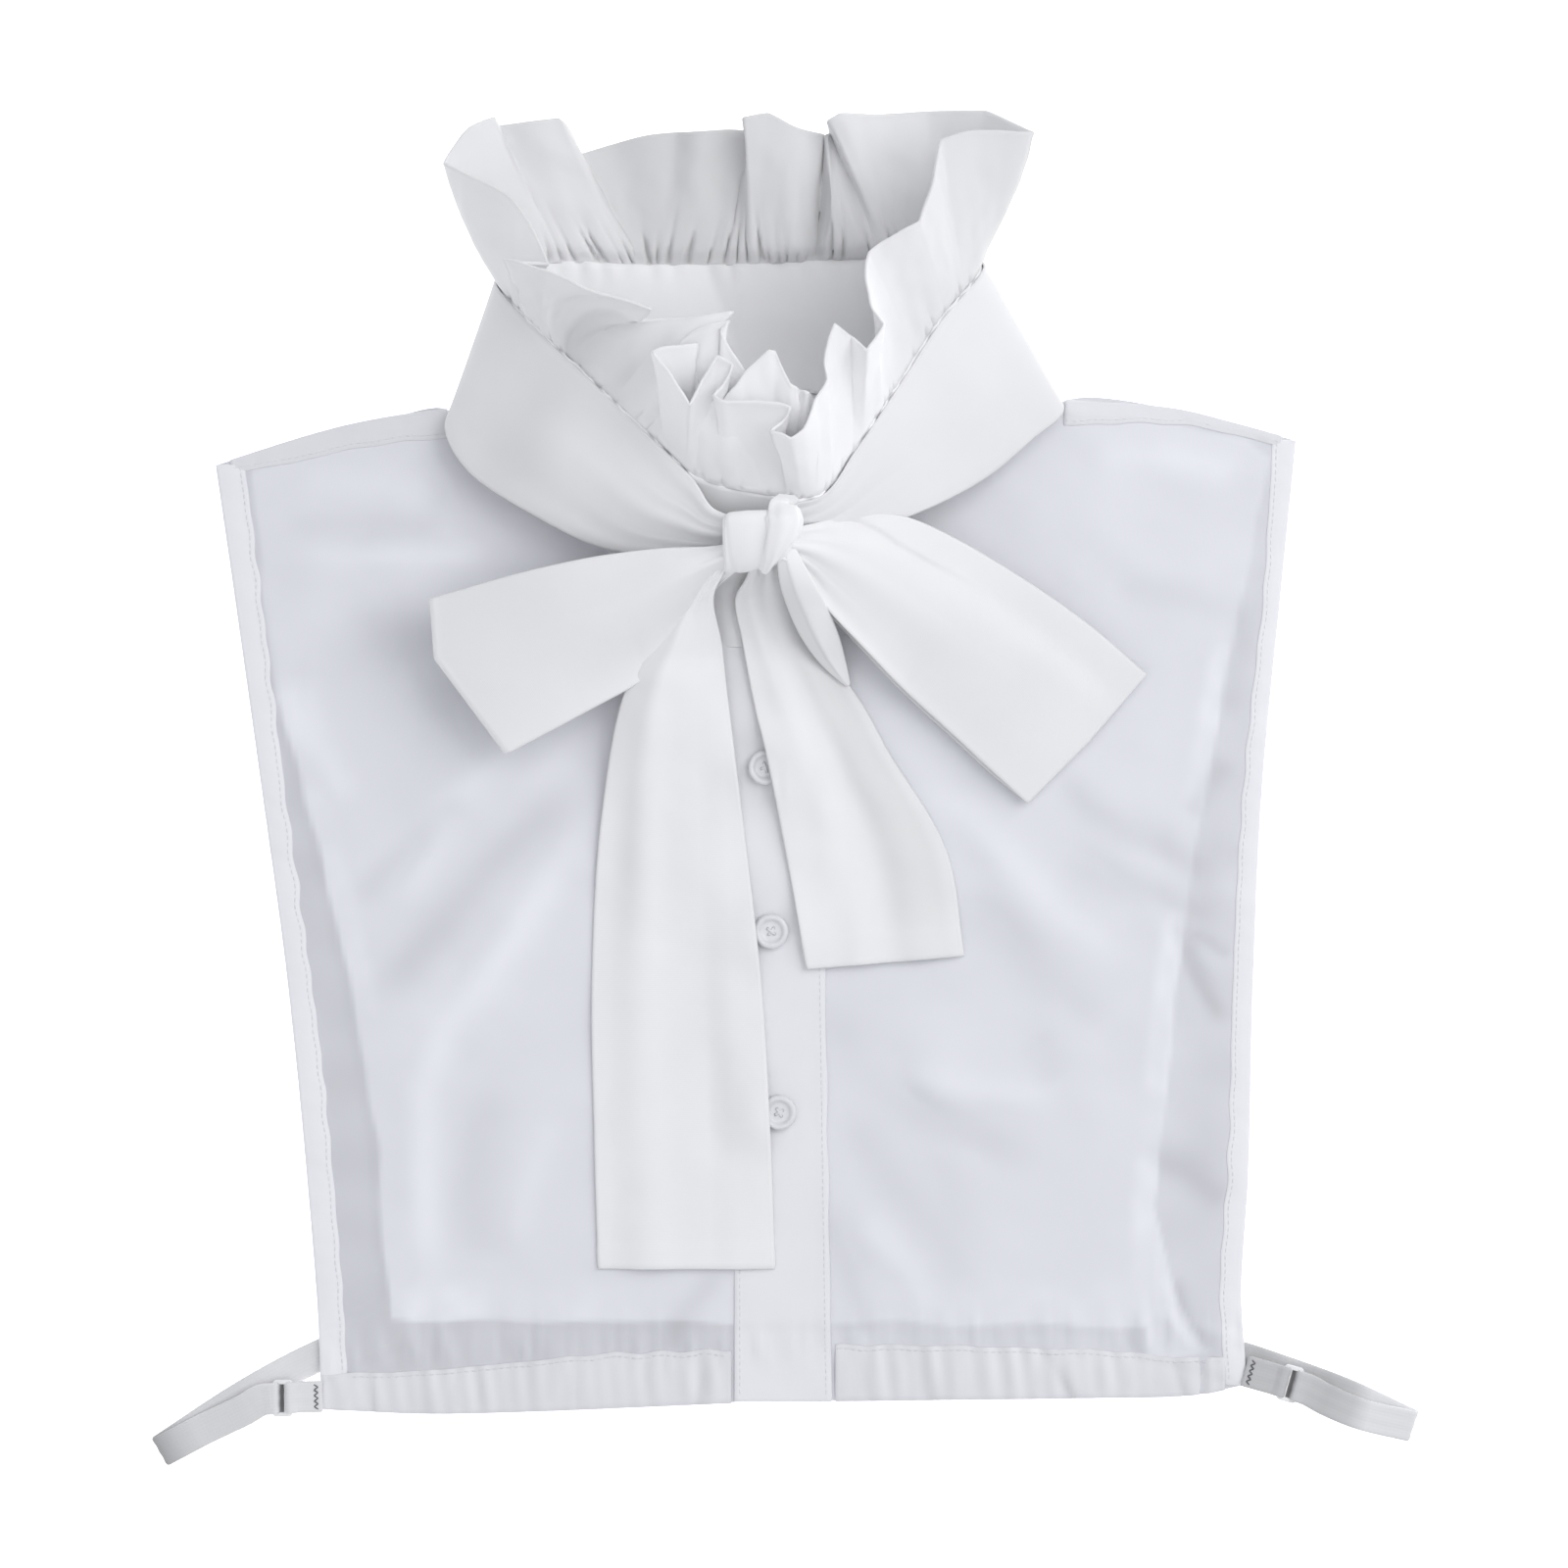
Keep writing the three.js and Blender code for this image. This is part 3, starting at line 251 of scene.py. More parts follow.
# Folds of the ruffle: place along the upper seam, the fold's point on the free edge as the camera sees it,
# its height, and how crisp the fold is
RUFFLE_FOLDS = rows("seam x y z sharp", [
    (2, -11, 213, 2.0, 1), (8, -18, 213.4, 2.6, 0), (15, -28, 212.8, 6, 0), (21, -36, 212.4, 2.6, 0),
    (25, -44, 211.6, 4, 0), (28, -55, 208.8, 2.6, 0), (31, -66, 205.6, 2.2, 1), (34, -71, 214.8, 11, 0.4),
    (36, -73.2, 217.2, 13, 0.9), (46, -82, 216.2, 14, 0), (57, -92.8, 214.8, 10, 0.8),
    (61, -94.6, 217.6, 17, 0.8), (65, -103, 214, 22, 0.2), (70, -109, 206, 26, 0.2),
    (75, -110.6, 202.6, 29, 0.8), (81, -103, 198.6, 35, 0), (86, -94.4, 194.6, 41, 0),
    (90, -87.6, 190, 45, 0), (93, -83, 182.5, 48, 0), (95, -79.6, 175, 50, 0), (97, -76.8, 169.6, 52, 0.8),
    (99, -91.4, 171, 58, 1), (102, -86, 170.2, 61, 0.2), (106, -78, 167.3, 63, 0), (110, -68, 163.2, 66, 0),
    (114, -56, 158.9, 69, 0), (117, -43.2, 155.1, 71, 1), (120, -46.4, 151.4, 66, 0.4),
    (123, -53.8, 150.9, 57, 1), (131, -45, 151.5, 54, 0.2), (142, -31, 152.2, 55, 0),
    (153, -16.8, 154.2, 58, 1), (156, -22, 149, 51, 0), (160, -32, 143, 48, 0.4), (163, -42.4, 138, 56, 0.4),
    (164, -42.8, 141.2, 64, 1), (167, -38, 135, 66, 0), (170, -34, 129, 66.5, 0), (172, -30.8, 124, 66, 1),
    (175, -28.2, 129.4, 66, 0), (178, -25, 134.4, 66.5, 0), (181, -21.6, 139.6, 67, 0.9),
    (183, -17.2, 137, 66, 0.9), (184.5, -19.8, 130.5, 65, 0), (186, -22.8, 127, 66, 0.9),
    (188, -19.6, 125.1, 67, 0.9), (193, -11, 124.9, 67.5, 0), (200, -1, 124.1, 68, 0),
    (203, 1.9, 123, 68.4, 1), (205, -0.2, 118.6, 66, 0), (207, -4.2, 115.4, 67, 1),
    (209, -0.6, 114.6, 67.6, 0.3), (211, 2.4, 113.2, 68, 0.8), (214, 6.4, 115.8, 67.6, 0.4),
    (217, 9.4, 122, 67, 0), (219, 10.6, 125.6, 66.4, 0.5), (221.5, 14.2, 132, 66, 0.3),
    (224, 13.3, 138, 66, 0), (227, 14.8, 146, 68, 0.2), (230, 16.6, 150.2, 69, 1), (235, 22, 146, 60.5, 1),
    (240, 27, 142, 66, 1), (249, 32.4, 150, 65, 0.6), (255, 29, 155.4, 66, 0), (260, 27.2, 162, 67, 0),
    (265, 26.8, 168, 66, 0), (271, 28, 173.6, 64.6, 0.8), (279, 34, 178, 61, 0), (286, 40, 181.4, 58, 0),
    (291, 44.8, 183.6, 55, 0.8), (296, 48, 195.4, 51, 0), (301, 51.4, 210, 46, 0.9), (306, 60, 212.8, 42, 0),
    (314, 81.6, 212.6, 35, 1), (319, 74, 216.2, 27, 0.2), (323, 66, 219.6, 19, 0.8),
    (332, 47.6, 219.4, 12, 0.5), (339, 31, 218.4, 13, 0), (344, 18.4, 218.8, 17, 0.6),
    (346, 14.6, 216.6, 16, 1), (349, 15.4, 212.4, 6, 1), (360, 14.4, 212, 8, 0.6), (367, 13.9, 211.9, 10, 1),
    (370.5, 13.2, 210.6, 5.5, 0.8), (373, 13.1, 211.8, 8, 0.9), (380, 4, 214.2, 11, 0),
    (386, -5, 218.8, 13, 0.5), (391, -13.4, 217.4, 14, 1),
])
# How far the middle of the ruffle's ribs is bent off a straight line
RUFFLE_BENDS = rows("seam x y z", [
    (62, 0, 0, 0), (72, -3, 0.5, 1), (78, -6, 1, 0), (84, -5, 1, 0), (97, 0, 0, 0), (99, 0, 0, 0.4),
    (108, -2.5, 2, 0.7), (112, -6, 4.4, 1), (115, -8, 6.4, 1.2), (117, -8, 6, 0), (120, -5, 3.6, -3.4),
    (124, -2, 1, -5), (129, 0, 0, -1), (135, 0, 0, 4), (150, 0, 0, 7), (160, 0, 0, 4), (166, 0, 0, 2),
    (172, 0, 0, 0), (188, 0, 0, 0), (196, 0, -1, -3), (203, 0, 0, 0), (240, 0, 0, 0), (270, 0, 0, 2.5),
    (291, 0, 0, 2), (302, -0.5, 0, 1.5), (314, 1.5, -1, 0), (320, 0, 0, 0), (343, 0, 0, 0), (349, 0, 0, 3),
    (363, 0, 0, 5), (367, 0.5, 0, 6), (368.6, 1, 0, -2), (371, 0, 0, -3), (373.5, -1, 0, 0), (376, -1, 0, 4),
    (380, 0, 0, 5), (386, 0, 0, 2), (391, 0, 0, 0),
])
INNER_BENDS = rows("seam x y z", [(160, 0, 0, 4), (220, 0, 0, 4)])
# Folds of the ruffle's layers behind its front ones
MIDDLE_FOLDS = rows("seam x y z sharp", [
    (163, -42.8, 141.1, 62, 1), (166, -40, 142.4, 62, 0.2), (169, -33, 143, 61.5, 0),
    (172, -28.5, 143.6, 61, 1), (174, -29.2, 136, 56, 0.3), (180, -26, 126, 56, 0.3),
    (186, -20.4, 124.6, 60, 0.6), (189, -18, 127.6, 62, 0), (191, -15, 131, 63, 0),
    (193, -12.8, 134.4, 63.5, 0.3), (196, -8.6, 138.2, 64, 0), (199, -5, 141.4, 65, 0.9),
    (201, -2.8, 141, 64.6, 0.9), (203, -0.4, 135.4, 63.6, 0), (206, 2.2, 130.4, 62.6, 0.8),
    (208, 4.5, 129.1, 62, 0.9), (209, 5.2, 128.4, 60, 0.4), (211, 7.4, 128, 63, 0.8),
    (213, 9.2, 126.4, 59, 0.2), (216, 11.6, 121, 58, 0.2),
])
BACK_FOLDS = rows("seam x y z sharp", [
    (162, -40, 139, 53, 1), (165, -34.4, 143.6, 55.5, 0), (168, -30, 147.2, 57.5, 0),
    (172, -25, 149.5, 60, 0), (176, -20.6, 150.4, 61, 0.2), (179, -17.8, 151.4, 62, 1),
    (181, -20.6, 148.3, 61.5, 0.9), (184, -18, 142.6, 61, 0), (187, -15.2, 138.4, 60.5, 0.2),
    (190, -12.4, 133.8, 60, 0.2), (194, -12, 124, 52, 0.2),
])
# Neck band of the tie: its upper and lower edge, once round the outside of the stand
BAND = rows("ux uy uz lx ly lz", [
    (-20, 168.8, 0.5, -20, 128.4, 0.5), (-60, 168.8, 0.6, -60, 128.4, 0.6), (-86, 168, 4.4, -95, 130.5, 1),
    (-94.6, 160.6, 17, -109.6, 117.8, 8), (-77.6, 141.6, 28, -103, 102.6, 14.5),
    (-58.4, 123, 34.2, -80, 86.6, 17.5), (-37, 102.6, 39.2, -56, 75.6, 20.5), (-21, 86.4, 41, -24, 74, 29),
    (-4, 84.6, 39, -4, 74, 30), (12, 90.2, 41, 14, 77, 31), (25, 106, 40, 40, 86, 26),
    (38, 124.6, 35.8, 64, 98.4, 17), (52.6, 146.8, 29.4, 80, 111.6, 13), (66.6, 166.4, 17, 90.6, 122, 8),
    (58, 171.4, 4, 79, 131, 0.9), (22, 169.6, 0.6, 30, 128.4, 0.5),
])
# Layers of the bow's loops as the camera sees them: upper and lower long edge from knot to closed end, height
LEFT_OVER = rows("ux uy lx ly z", [
    (-14, 79, -14, 71, 41), (-23, 77.4, -22.5, 64.5, 39), (-40, 76.6, -31, 50, 38),
    (-60, 74.2, -45, 36, 36.5), (-85, 68.8, -66, 23.6, 32), (-113.7, 60.7, -89.3, 10.8, 23),
])
LEFT_UNDER = rows("ux uy lx ly z", [
    (-14, 78, -14, 71, 33), (-23, 75, -22.5, 65, 26), (-40, 72, -32.5, 51.5, 16), (-60, 70.5, -47, 38.5, 13),
    (-85, 67, -67.5, 26.5, 14.5), (-113.7, 60.7, -89.3, 10.8, 19.6),
])
RIGHT_OVER = rows("ux uy lx ly z", [
    (-3, 82, -3, 75, 41), (8, 84.6, 5.4, 70, 39.5), (24, 87.6, 13.6, 58.5, 35),
    (38.5, 87.2, 25.8, 45.4, 28.5), (56, 79.8, 39, 31.6, 20.5), (78, 66.6, 55, 16.8, 14),
    (99, 52, 68, 4.6, 10), (117, 36.6, 78.6, -5.2, 7),
])
RIGHT_UNDER = rows("ux uy lx ly z", [
    (-3, 81, -3, 74, 33), (8, 82, 6, 68, 26), (24, 83, 14.2, 56.4, 16), (38.5, 82, 26.2, 43.4, 10),
    (56, 76, 38.5, 30.6, 7.6), (78, 62, 54.8, 15.6, 6), (99, 50, 67.7, 3.7, 5), (117, 36.6, 78.6, -5.2, 4.6),
])
# Where across its closed end each loop reaches farthest, and how far
LEFT_BULGE = (0.33, 7.0)
RIGHT_BULGE = (0.5, 1.0)
# Tails of the bow as the camera sees them: left and right long edge from knot to cut end, lift off the front
TAIL_LEFT = rows("lx ly rx ry lift", [
    (-21, 76, -15, 77, 27), (-26, 68, -19.4, 69.6, 25), (-34, 57, -23.2, 61, 17.8),
    (-43, 45, -20.6, 46, 15.6), (-51.4, 31, -18.8, 30, 13), (-59.2, -10, -14.4, -6, 1),
    (-62.4, -64, -7.8, -64, 0.3), (-61.6, -116, -4.8, -114, 0.3), (-60.4, -157.8, -3.2, -157.8, 0.3),
])
TAIL_RIGHT = rows("lx ly rx ry lift", [
    (-9, 76, 1, 79, 27), (-12, 67.5, 1.4, 73, 17), (-15.6, 60.6, 4.4, 62, 8), (-13.4, 47, 11, 47, 2.4),
    (-9, 24, 25.6, 25.5, 0.8), (-6, 12, 33.4, 11, 0.8), (0.8, -22, 52.8, -22, 0.3),
    (7.6, -60, 58.4, -55.8, 0.3),
])
# Lengthwise folds of the tails: place across, width and height; and the shares of the left tail's length
# between which they begin
TAIL_LEFT_FOLDS = [(0.3, 0.13, 2.0), (0.72, 0.2, 0.8)]
TAIL_RIGHT_FOLDS = [(0.3, 0.12, 1.2), (0.7, 0.14, 1.4)]
TAIL_LEFT_CREASED = (0.4, 0.6)
# Ribbon between the tails, behind the knot
TAIL_BACK = rows("lx ly rx ry lift", [
    (-22, 74, -9, 75, 22), (-26, 70, -9, 70.6, 14), (-27, 65, -9, 65.6, 6), (-25, 58, -10, 58.6, 1.6),
    (-22, 51, -10, 51.6, 0), (-19, 44.6, -11, 45.2, -2.4),
])
# Part of the right tail folded over near the knot
FLAP = rows("lx ly rx ry z", [
    (-2, 77, 3, 78, 42), (-1.4, 67, 9.4, 66, 38), (1.6, 57, 14, 57.4, 29), (6.4, 47, 17.8, 48, 20),
    (13, 38.4, 20, 39.6, 13), (20.4, 32, 21.5, 32.8, 9.5),
])
KNOT = rows("x y z tall deep", [
    (-19.4, 76.2, 40.4, 9.4, 3.4), (-18.4, 76.4, 41, 11, 5), (-12, 77, 41.6, 11.4, 6),
    (-6, 77.6, 41.8, 11.4, 5.8), (0.6, 79, 42.2, 10, 5), (2.8, 80, 42, 8, 3.4),
])
KNOT_SLOPE = 0.69
# Twisted strand beside the knot, from above it round its right end and under it
STRAND = rows("x y z tall deep", [
    (0.5, 92.4, 45.5, 3.6, 1.0), (0.3, 90.4, 48.6, 4.8, 1.8), (0.2, 86.2, 50, 6.0, 2.4),
    (-1.2, 81.6, 49, 5.0, 2.7), (-3.2, 77.4, 46.6, 3.2, 2.5), (-4.6, 73.8, 43.4, 2.3, 2.2),
    (-6.4, 69.8, 38.6, 1.7, 1.5),
])

BUTTONS = rows("x y", [(-6, 5.4), (-4.2, -48), (-1.6, -107)])
BUTTON_RADIUS = 5.75
# A button's profile, from the middle of its underside over the rim into the dish: radius and height
BUTTON_PROFILE = [
    (0, 0), (3.6, 0), (4.6, 0.25), (5.4, 0.85), (5.75, 1.45), (5.7, 1.95), (5.35, 2.4), (4.8, 2.6),
    (4.2, 2.5), (3.75, 2.15), (3.45, 1.8), (3.1, 1.62), (2.2, 1.52), (0, 1.5),
]
BUTTON_SIDES = 56
BUTTON_GAP = 0.25
# Each button's turn in degrees, its four holes, and its two threads, of which the second lies on the first
BUTTON_TURNS = (18, 52, 31)
HOLES = dict(radius=0.5, depth=6, sides=20, from_middle=1.35, level=1.3)
THREAD_REACH = 1.75
THREAD_LEVEL = 1.5
THREAD_RISE = 0.22
# Angles between faces over which a button's and a slider's edges are sharp
BUTTON_SHARP = 38
SLIDER_SHARP = 40

ELASTIC_WIDTH = 9.5
ELASTIC_WALL = 0.9
ELASTIC_TOP = 3.3
ELASTIC_UPPER = 2.3
ELASTIC_LOWER = 0.55
# Distances from an elastic's middle between which the front comes down beside it
ELASTIC_SLOPE = (5.4, 9.5)
# Heights by the distance run: of the long strip from under the slider, up through the slot and over the bar,
# and of the tab from the slider's bar
OVER_SLIDER = (
    (0, 3.0, 3.4, 3.8, 4.2, 5, 6.4, 8.5, 13, 30, 64),
    (1.55, 1.55, 2.4, 4.0, 4.8, 4.95, 4.7, 4.0, 3.3, 2.4, 2.3),
)
TAB_OVER_SLIDER = ((0, 0.3, 0.7, 1.4, 2.4, 4.2, 6, 20), (2.8, 3.6, 4.5, 4.8, 4.6, 3.5, 3.3, 3.3))
# Sliders: width, length and corner radius of the plate and of its slot
SLIDER = dict(
    plate=(5.7, 11.3, 0.8), slot=(2.8, 9.8, 0.4), slot_off_middle=0.55, half_thickness=0.45, rounding=0.35,
)
# Each elastic: the tab, the slider and its turn, the strip out to the tip and back, and the painted shade on
# the strip by its distance from the slider and on the tab
ELASTICS = {
    "left": dict(
        tab=[(-150.7, -199.6), (-162.5, -199.8)],
        slider=(-163.3, -200.1, 0),
        out=[
            (-161, -200.1), (-163.2, -200.1), (-165.1, -200.1), (-167.5, -200.2), (-170.5, -200.8),
            (-176, -204), (-188, -209.8), (-202.6, -217.4),
        ],
        back=[(-202.6, -217.0), (-180, -202), (-162, -191.6), (-143, -182.6), (-127.8, -176.4)],
        shade=((0, 4, 12, 26, 32, 38), (0.0, 0.1, 0.35, 0.3, 0.8, 1.7)),
        tab_shade=0.0,
    ),
    "right": dict(
        tab=[(150.4, -191.2), (164.1, -195.1)],
        slider=(164.9, -195.4, -16),
        out=[
            (162.7, -194.8), (164.8, -195.4), (166.6, -195.9), (168.5, -196.5), (171, -197.5),
            (177, -200.8), (188, -205.4), (204.2, -209.3),
        ],
        back=[(204.2, -208.8), (184, -199.4), (160, -190.6), (138, -183.6), (120.2, -178.9)],
        shade=((0, 4, 10, 18, 24, 38), (0.8, 1.0, 1.2, 0.9, 0.0, 0.1)),
        tab_shade=1.1,
    ),
}


def places(table, names="x y"):
    """The named columns of a table as points, with zero for a third that isn't named."""
    columns = [table[name] for name in names.split()]
    points = np.zeros((len(columns[0]), 3))
    points[:, :len(columns)] = np.stack(columns, axis=-1)
    return points


def smooth(value, start, stop):
    t = np.clip((np.asarray(value, float) - start) / (stop - start), 0, 1)
    return t * t * (3 - 2 * t)


def mix(a, b, t):
    return a + (b - a) * t


def bump(value, at, wide):
    """1 at a value, falling off on both sides of it."""
    return np.exp(-((value - at) / wide) ** 2)


def spot(x, y, at, size):
    """1 at a place of the plan, falling off round it; size is how far across and how far up."""
    return np.exp(-((x - at[0]) / size[0]) ** 2 - ((y - at[1]) / size[1]) ** 2)


def unseen(points):
    """Places in space of points given where the camera sees them, with their heights."""
    points = np.array(points, float)
    points[..., :2] *= 1 - points[..., 2:3] / VIEW_HEIGHT
    return points


def seen(points):
    """X and Y in the plan at which the camera sees points in space."""
    return tuple(points[..., i] / (1 - points[..., 2] / VIEW_HEIGHT) for i in range(2))


class Curve:
    """Centripetal curve, read at a fraction of its spans or of its length; sharp points are corners."""

    DIVISIONS = 600
    SHORTEST = 1e-4

    def __init__(self, points, closed=False, sharp=None):
        self.points = np.asarray(points, float)
        self.closed = closed
        self.sharp = np.zeros(len(self.points)) if sharp is None else sharp
        samples = self.point(np.linspace(0, 1, self.DIVISIONS + 1))
        steps = np.linalg.norm(np.diff(samples, axis=0), axis=1)
        self.lengths = np.concatenate([[0], np.cumsum(steps)])
        self.length = self.lengths[-1]

    def point(self, t):
        """Point at a fraction of the spans."""
        t = np.asarray(t, float)
        points, count = self.points, len(self.points)
        spans = count if self.closed else count - 1
        place = np.clip(t, 0, 1) * spans
        first = np.minimum(np.floor(place).astype(int), spans - 1)

        def control(index):
            if self.closed:
                return points[index % count]
            inside = points[np.clip(index, 0, count - 1)]
            before = 2 * points[0] - points[1]
            after = 2 * points[-1] - points[-2]
            inside = np.where((index < 0)[..., None], before, inside)
            return np.where((index > count - 1)[..., None], after, inside)

        p0, p1, p2, p3 = (control(first + k) for k in (-1, 0, 1, 2))
        pairs = ((p0, p1), (p1, p2), (p2, p3))
        d0, d1, d2 = (np.sqrt(np.linalg.norm(b - a, axis=-1))[..., None] for a, b in pairs)
        d1 = np.where(d1 < self.SHORTEST, 1.0, d1)
        d0 = np.where(d0 < self.SHORTEST, d1, d0)
        d2 = np.where(d2 < self.SHORTEST, d1, d2)
        slope1 = ((p1 - p0) / d0 - (p2 - p0) / (d0 + d1) + (p2 - p1) / d1) * d1
        slope2 = ((p2 - p1) / d1 - (p3 - p1) / (d1 + d2) + (p3 - p2) / d2) * d1
        slope1 = mix(slope1, p2 - p1, self.sharp[first % count][..., None])
        slope2 = mix(slope2, p2 - p1, self.sharp[(first + 1) % count][..., None])
        w = (place - first)[..., None]
        cubic = 2 * p1 - 2 * p2 + slope1 + slope2
        square = -3 * p1 + 3 * p2 - 2 * slope1 - slope2
        return p1 + slope1 * w + square * w ** 2 + cubic * w ** 3

    def at(self, fraction):
        """Point at a fraction of the length."""
        target = np.asarray(fraction, float) * self.length
        return self.point(np.interp(target, self.lengths, np.linspace(0, 1, self.DIVISIONS + 1)))


def seen_curve(table, names="x y z", **kind):
    """Curve in space through places that a table gives as the camera sees them."""
    return Curve(unseen(places(table, names)), **kind)


def read(table, name, t):
    """A column read at a fraction of the table's rows."""
    values = table[name]
    return np.interp(np.clip(t, 0, 1) * (len(values) - 1), np.arange(len(values)), values)


def read_down(table, name, y):
    """A column of a table whose rows go down the plan, read at places in Y."""
    return np.interp(-np.asarray(y, float), -table["y"], table[name])


def smoothed(values, reach):
    """Running mean of a row, so that a table read in straight steps has no corners."""
    kernel = np.ones(2 * reach + 1) / (2 * reach + 1)
    return np.convolve(np.pad(values, reach, mode="edge"), kernel, mode="valid")


def unit(vectors):
    return vectors / np.maximum(np.linalg.norm(vectors, axis=-1, keepdims=True), 1e-9)


def waves(x, y, size, seed):
    """Smooth irregular ripples of about the given size, between about -1 and 1."""
    random = np.random.default_rng(seed)
    total = np.zeros(np.broadcast(x, y).shape)
    for _ in range(WAVES):
        angle = random.uniform(0, 2 * np.pi)
        number = 2 * np.pi / (size * random.uniform(0.7, 1.5))
        total += np.cos(number * (x * np.cos(angle) + y * np.sin(angle)) + random.uniform(0, 2 * np.pi))
    return total / math.sqrt(WAVES) / 1.3


def ripple(x, size, seed):
    """Irregular ripples along one direction."""
    random = np.random.default_rng(seed)
    total = np.zeros(np.shape(x))
    for _ in range(RIPPLES):
        number = 2 * np.pi / (size * random.uniform(0.75, 1.4))
        total += np.cos(number * x + random.uniform(0, 2 * np.pi))
    return total / math.sqrt(RIPPLES) / 1.2


# Shape of the front
def from_line(x, y, start, end):
    """How far points are from a straight line, and the place along it, 0 to 1 between its ends."""
    (x0, y0), (dx, dy) = start, np.subtract(end, start)
    along = ((x - x0) * dx + (y - y0) * dy) / (dx * dx + dy * dy)
    t = np.clip(along, 0, 1)
    return np.hypot(x - x0 - t * dx, y - y0 - t * dy), along


def ridges(x, y, table):
    """Sum of soft ridges, each along its own line."""
    height = np.zeros(np.shape(x))
    for x0, y0, x1, y1, tall, wide in each(table):
        away, along = from_line(x, y, (x0, y0), (x1, y1))
        height += tall * np.sin(np.pi * np.clip(along * 0.8 + 0.1, 0, 1)) * bump(away, 0, wide)
    return height


def front_folds(x, y):
    """Height of the front's own folds, each highest or lowest on its line and fading out at both ends."""
    total = np.zeros(np.shape(x))
    for tall, wide, line_points in FRONT_FOLDS:
        points = np.array(line_points, float)
        lengths = np.hypot(*np.diff(points, axis=0).T)
        fractions = np.concatenate([[0], np.cumsum(lengths)]) / lengths.sum()
        nearest, along = np.full(np.shape(x), np.inf), np.zeros(np.shape(x))
        for start, end, first, last in zip(points, points[1:], fractions, fractions[1:]):
            away, t = from_line(x, y, start, end)
            along = np.where(away < nearest, mix(first, last, np.clip(t, 0, 1)), along)
            nearest = np.minimum(nearest, away)
        ends = smooth(along, -0.02, 0.2) * (1 - smooth(along, 0.8, 1.02))
        total += tall * ends * bump(nearest, 0, wide)
    return total


def front_base(x, y):
    """Underside of the front as the solid has it."""
    to_neck = np.hypot(x - MOUND["x"], y - MOUND["y"])
    return FRONT_LEVEL + MOUND["height"] * bump(to_neck, 0, MOUND["reach"]) + ridges(x, y, FRONT_RIDGES)


def outline_depth(x, y, outline):
    """How far points are inside a closed outline, negative outside it."""
    nearest = np.full(np.shape(x), np.inf)
    inside = np.zeros(np.shape(x), bool)
    for start, end in zip(outline, np.roll(outline, -1, axis=0)):
        nearest = np.minimum(nearest, from_line(x, y, start, end)[0])
        (x0, y0), (x1, y1) = start, end
        if y1 != y0:
            inside ^= ((y0 > y) != (y1 > y)) & (x < (x1 - x0) * (y - y0) / (y1 - y0) + x0)
    return np.where(inside, nearest, -nearest)


def rest_level(x, y):
    """Where the front's underside lies: on the back, on an elastic, or on the table beside them."""
    level = mix(FRONT_ON_FLOOR, FRONT_ON_BACK, smooth(outline_depth(x, y, BACK_OUTLINE), -4, 1))
    for plan in ELASTICS.values():
        away, _ = from_line(x, y, plan["back"][-3], plan["back"][-1])
        level = np.maximum(level, mix(FRONT_ON_ELASTIC, FRONT_ON_FLOOR, smooth(away, *ELASTIC_SLOPE)))
    return level


def near_hem(x, y):
    """1 at the line of stitches above the hem, less above and below it."""
    line_y = np.where(x < 0, -187 - 2 * smooth(x, -80, -150), -183.0)
    above = y - line_y - 2.5
    return bump(above, 0, np.where(above > 0, 8.5, 6.0))


def hem_puckers(x, y):
    """Puckers above the hem, narrower close to the stitches."""
    return ripple(x + 0.25 * y, 9, 21) + 0.5 * ripple(x, 4.5, 23)


def front_under(x, y):
    """Underside of the front with its smaller creases and the puckers beside its seams."""
    height = front_base(x, y) - FRONT_LEVEL - (1 - RIDGE_SHARE) * ridges(x, y, FRONT_RIDGES)
    height = height + front_folds(x, y) + 0.45 * waves(x, y, 46, 11) + 0.16 * waves(x, y, 17, 12)
    left = read_down(LEFT_SIDE, "x", y) + read_down(LEFT_SIDE, "band", y)
    right = read_down(RIGHT_SIDE, "x", y) - read_down(RIGHT_SIDE, "band", y)
    near_side = bump(x, left, 7) + bump(x, right, 7)
    height = height + 0.75 * near_hem(x, y) * hem_puckers(x, y) + 0.4 * near_side * ripple(y, 17, 22)
    for cx, cy in each(BUTTONS):
        below = bump(np.hypot((x - cx) / 1.1, y - cy + 7), 0, 5)
        height = height - 0.5 * below * (1 + 0.6 * np.cos((x - cx) * 1.3))
    # Eased, so that no hollow of it goes below the level on which it rests
    return rest_level(x, y) + 0.5 * (height + np.sqrt(height ** 2 + 0.35)) - 0.12


def front_top(x, y):
    return front_under(x, y) + THIN


# Sheets
def grid(columns, lines, ring=False):
    """Fractions u across and v down, as two arrays of lines by columns; a ring leaves out its last column."""
    return np.meshgrid(np.linspace(0, 1, columns, endpoint=not ring), np.linspace(0, 1, lines))


def normals(points, ring):
    """Unit normals of a grid of points."""
    if ring:
        across = np.roll(points, -1, axis=1) - np.roll(points, 1, axis=1)
    else:
        across = np.gradient(points, axis=1)
    return unit(np.cross(across, np.gradient(points, axis=0)))


def grid_faces(lines, columns, ring, first=0):
    index = first + np.arange(lines * columns).reshape(lines, columns)
    right = np.roll(index, -1, axis=1) if ring else index[:, 1:]
    left = index if ring else index[:, :-1]
    return np.stack([left[:-1], right[:-1], right[1:], left[1:]], axis=-1).reshape(-1, 4)


def border(lines, columns, ring):
    """Indices round the edge of a grid, in order; two rings for a grid that closes on itself."""
    index = np.arange(lines * columns).reshape(lines, columns)
    if ring:
        return [index[0], index[-1][::-1]]
    return [np.concatenate([index[0, :-1], index[:-1, -1], index[-1, :0:-1], index[:0:-1, 0]])]


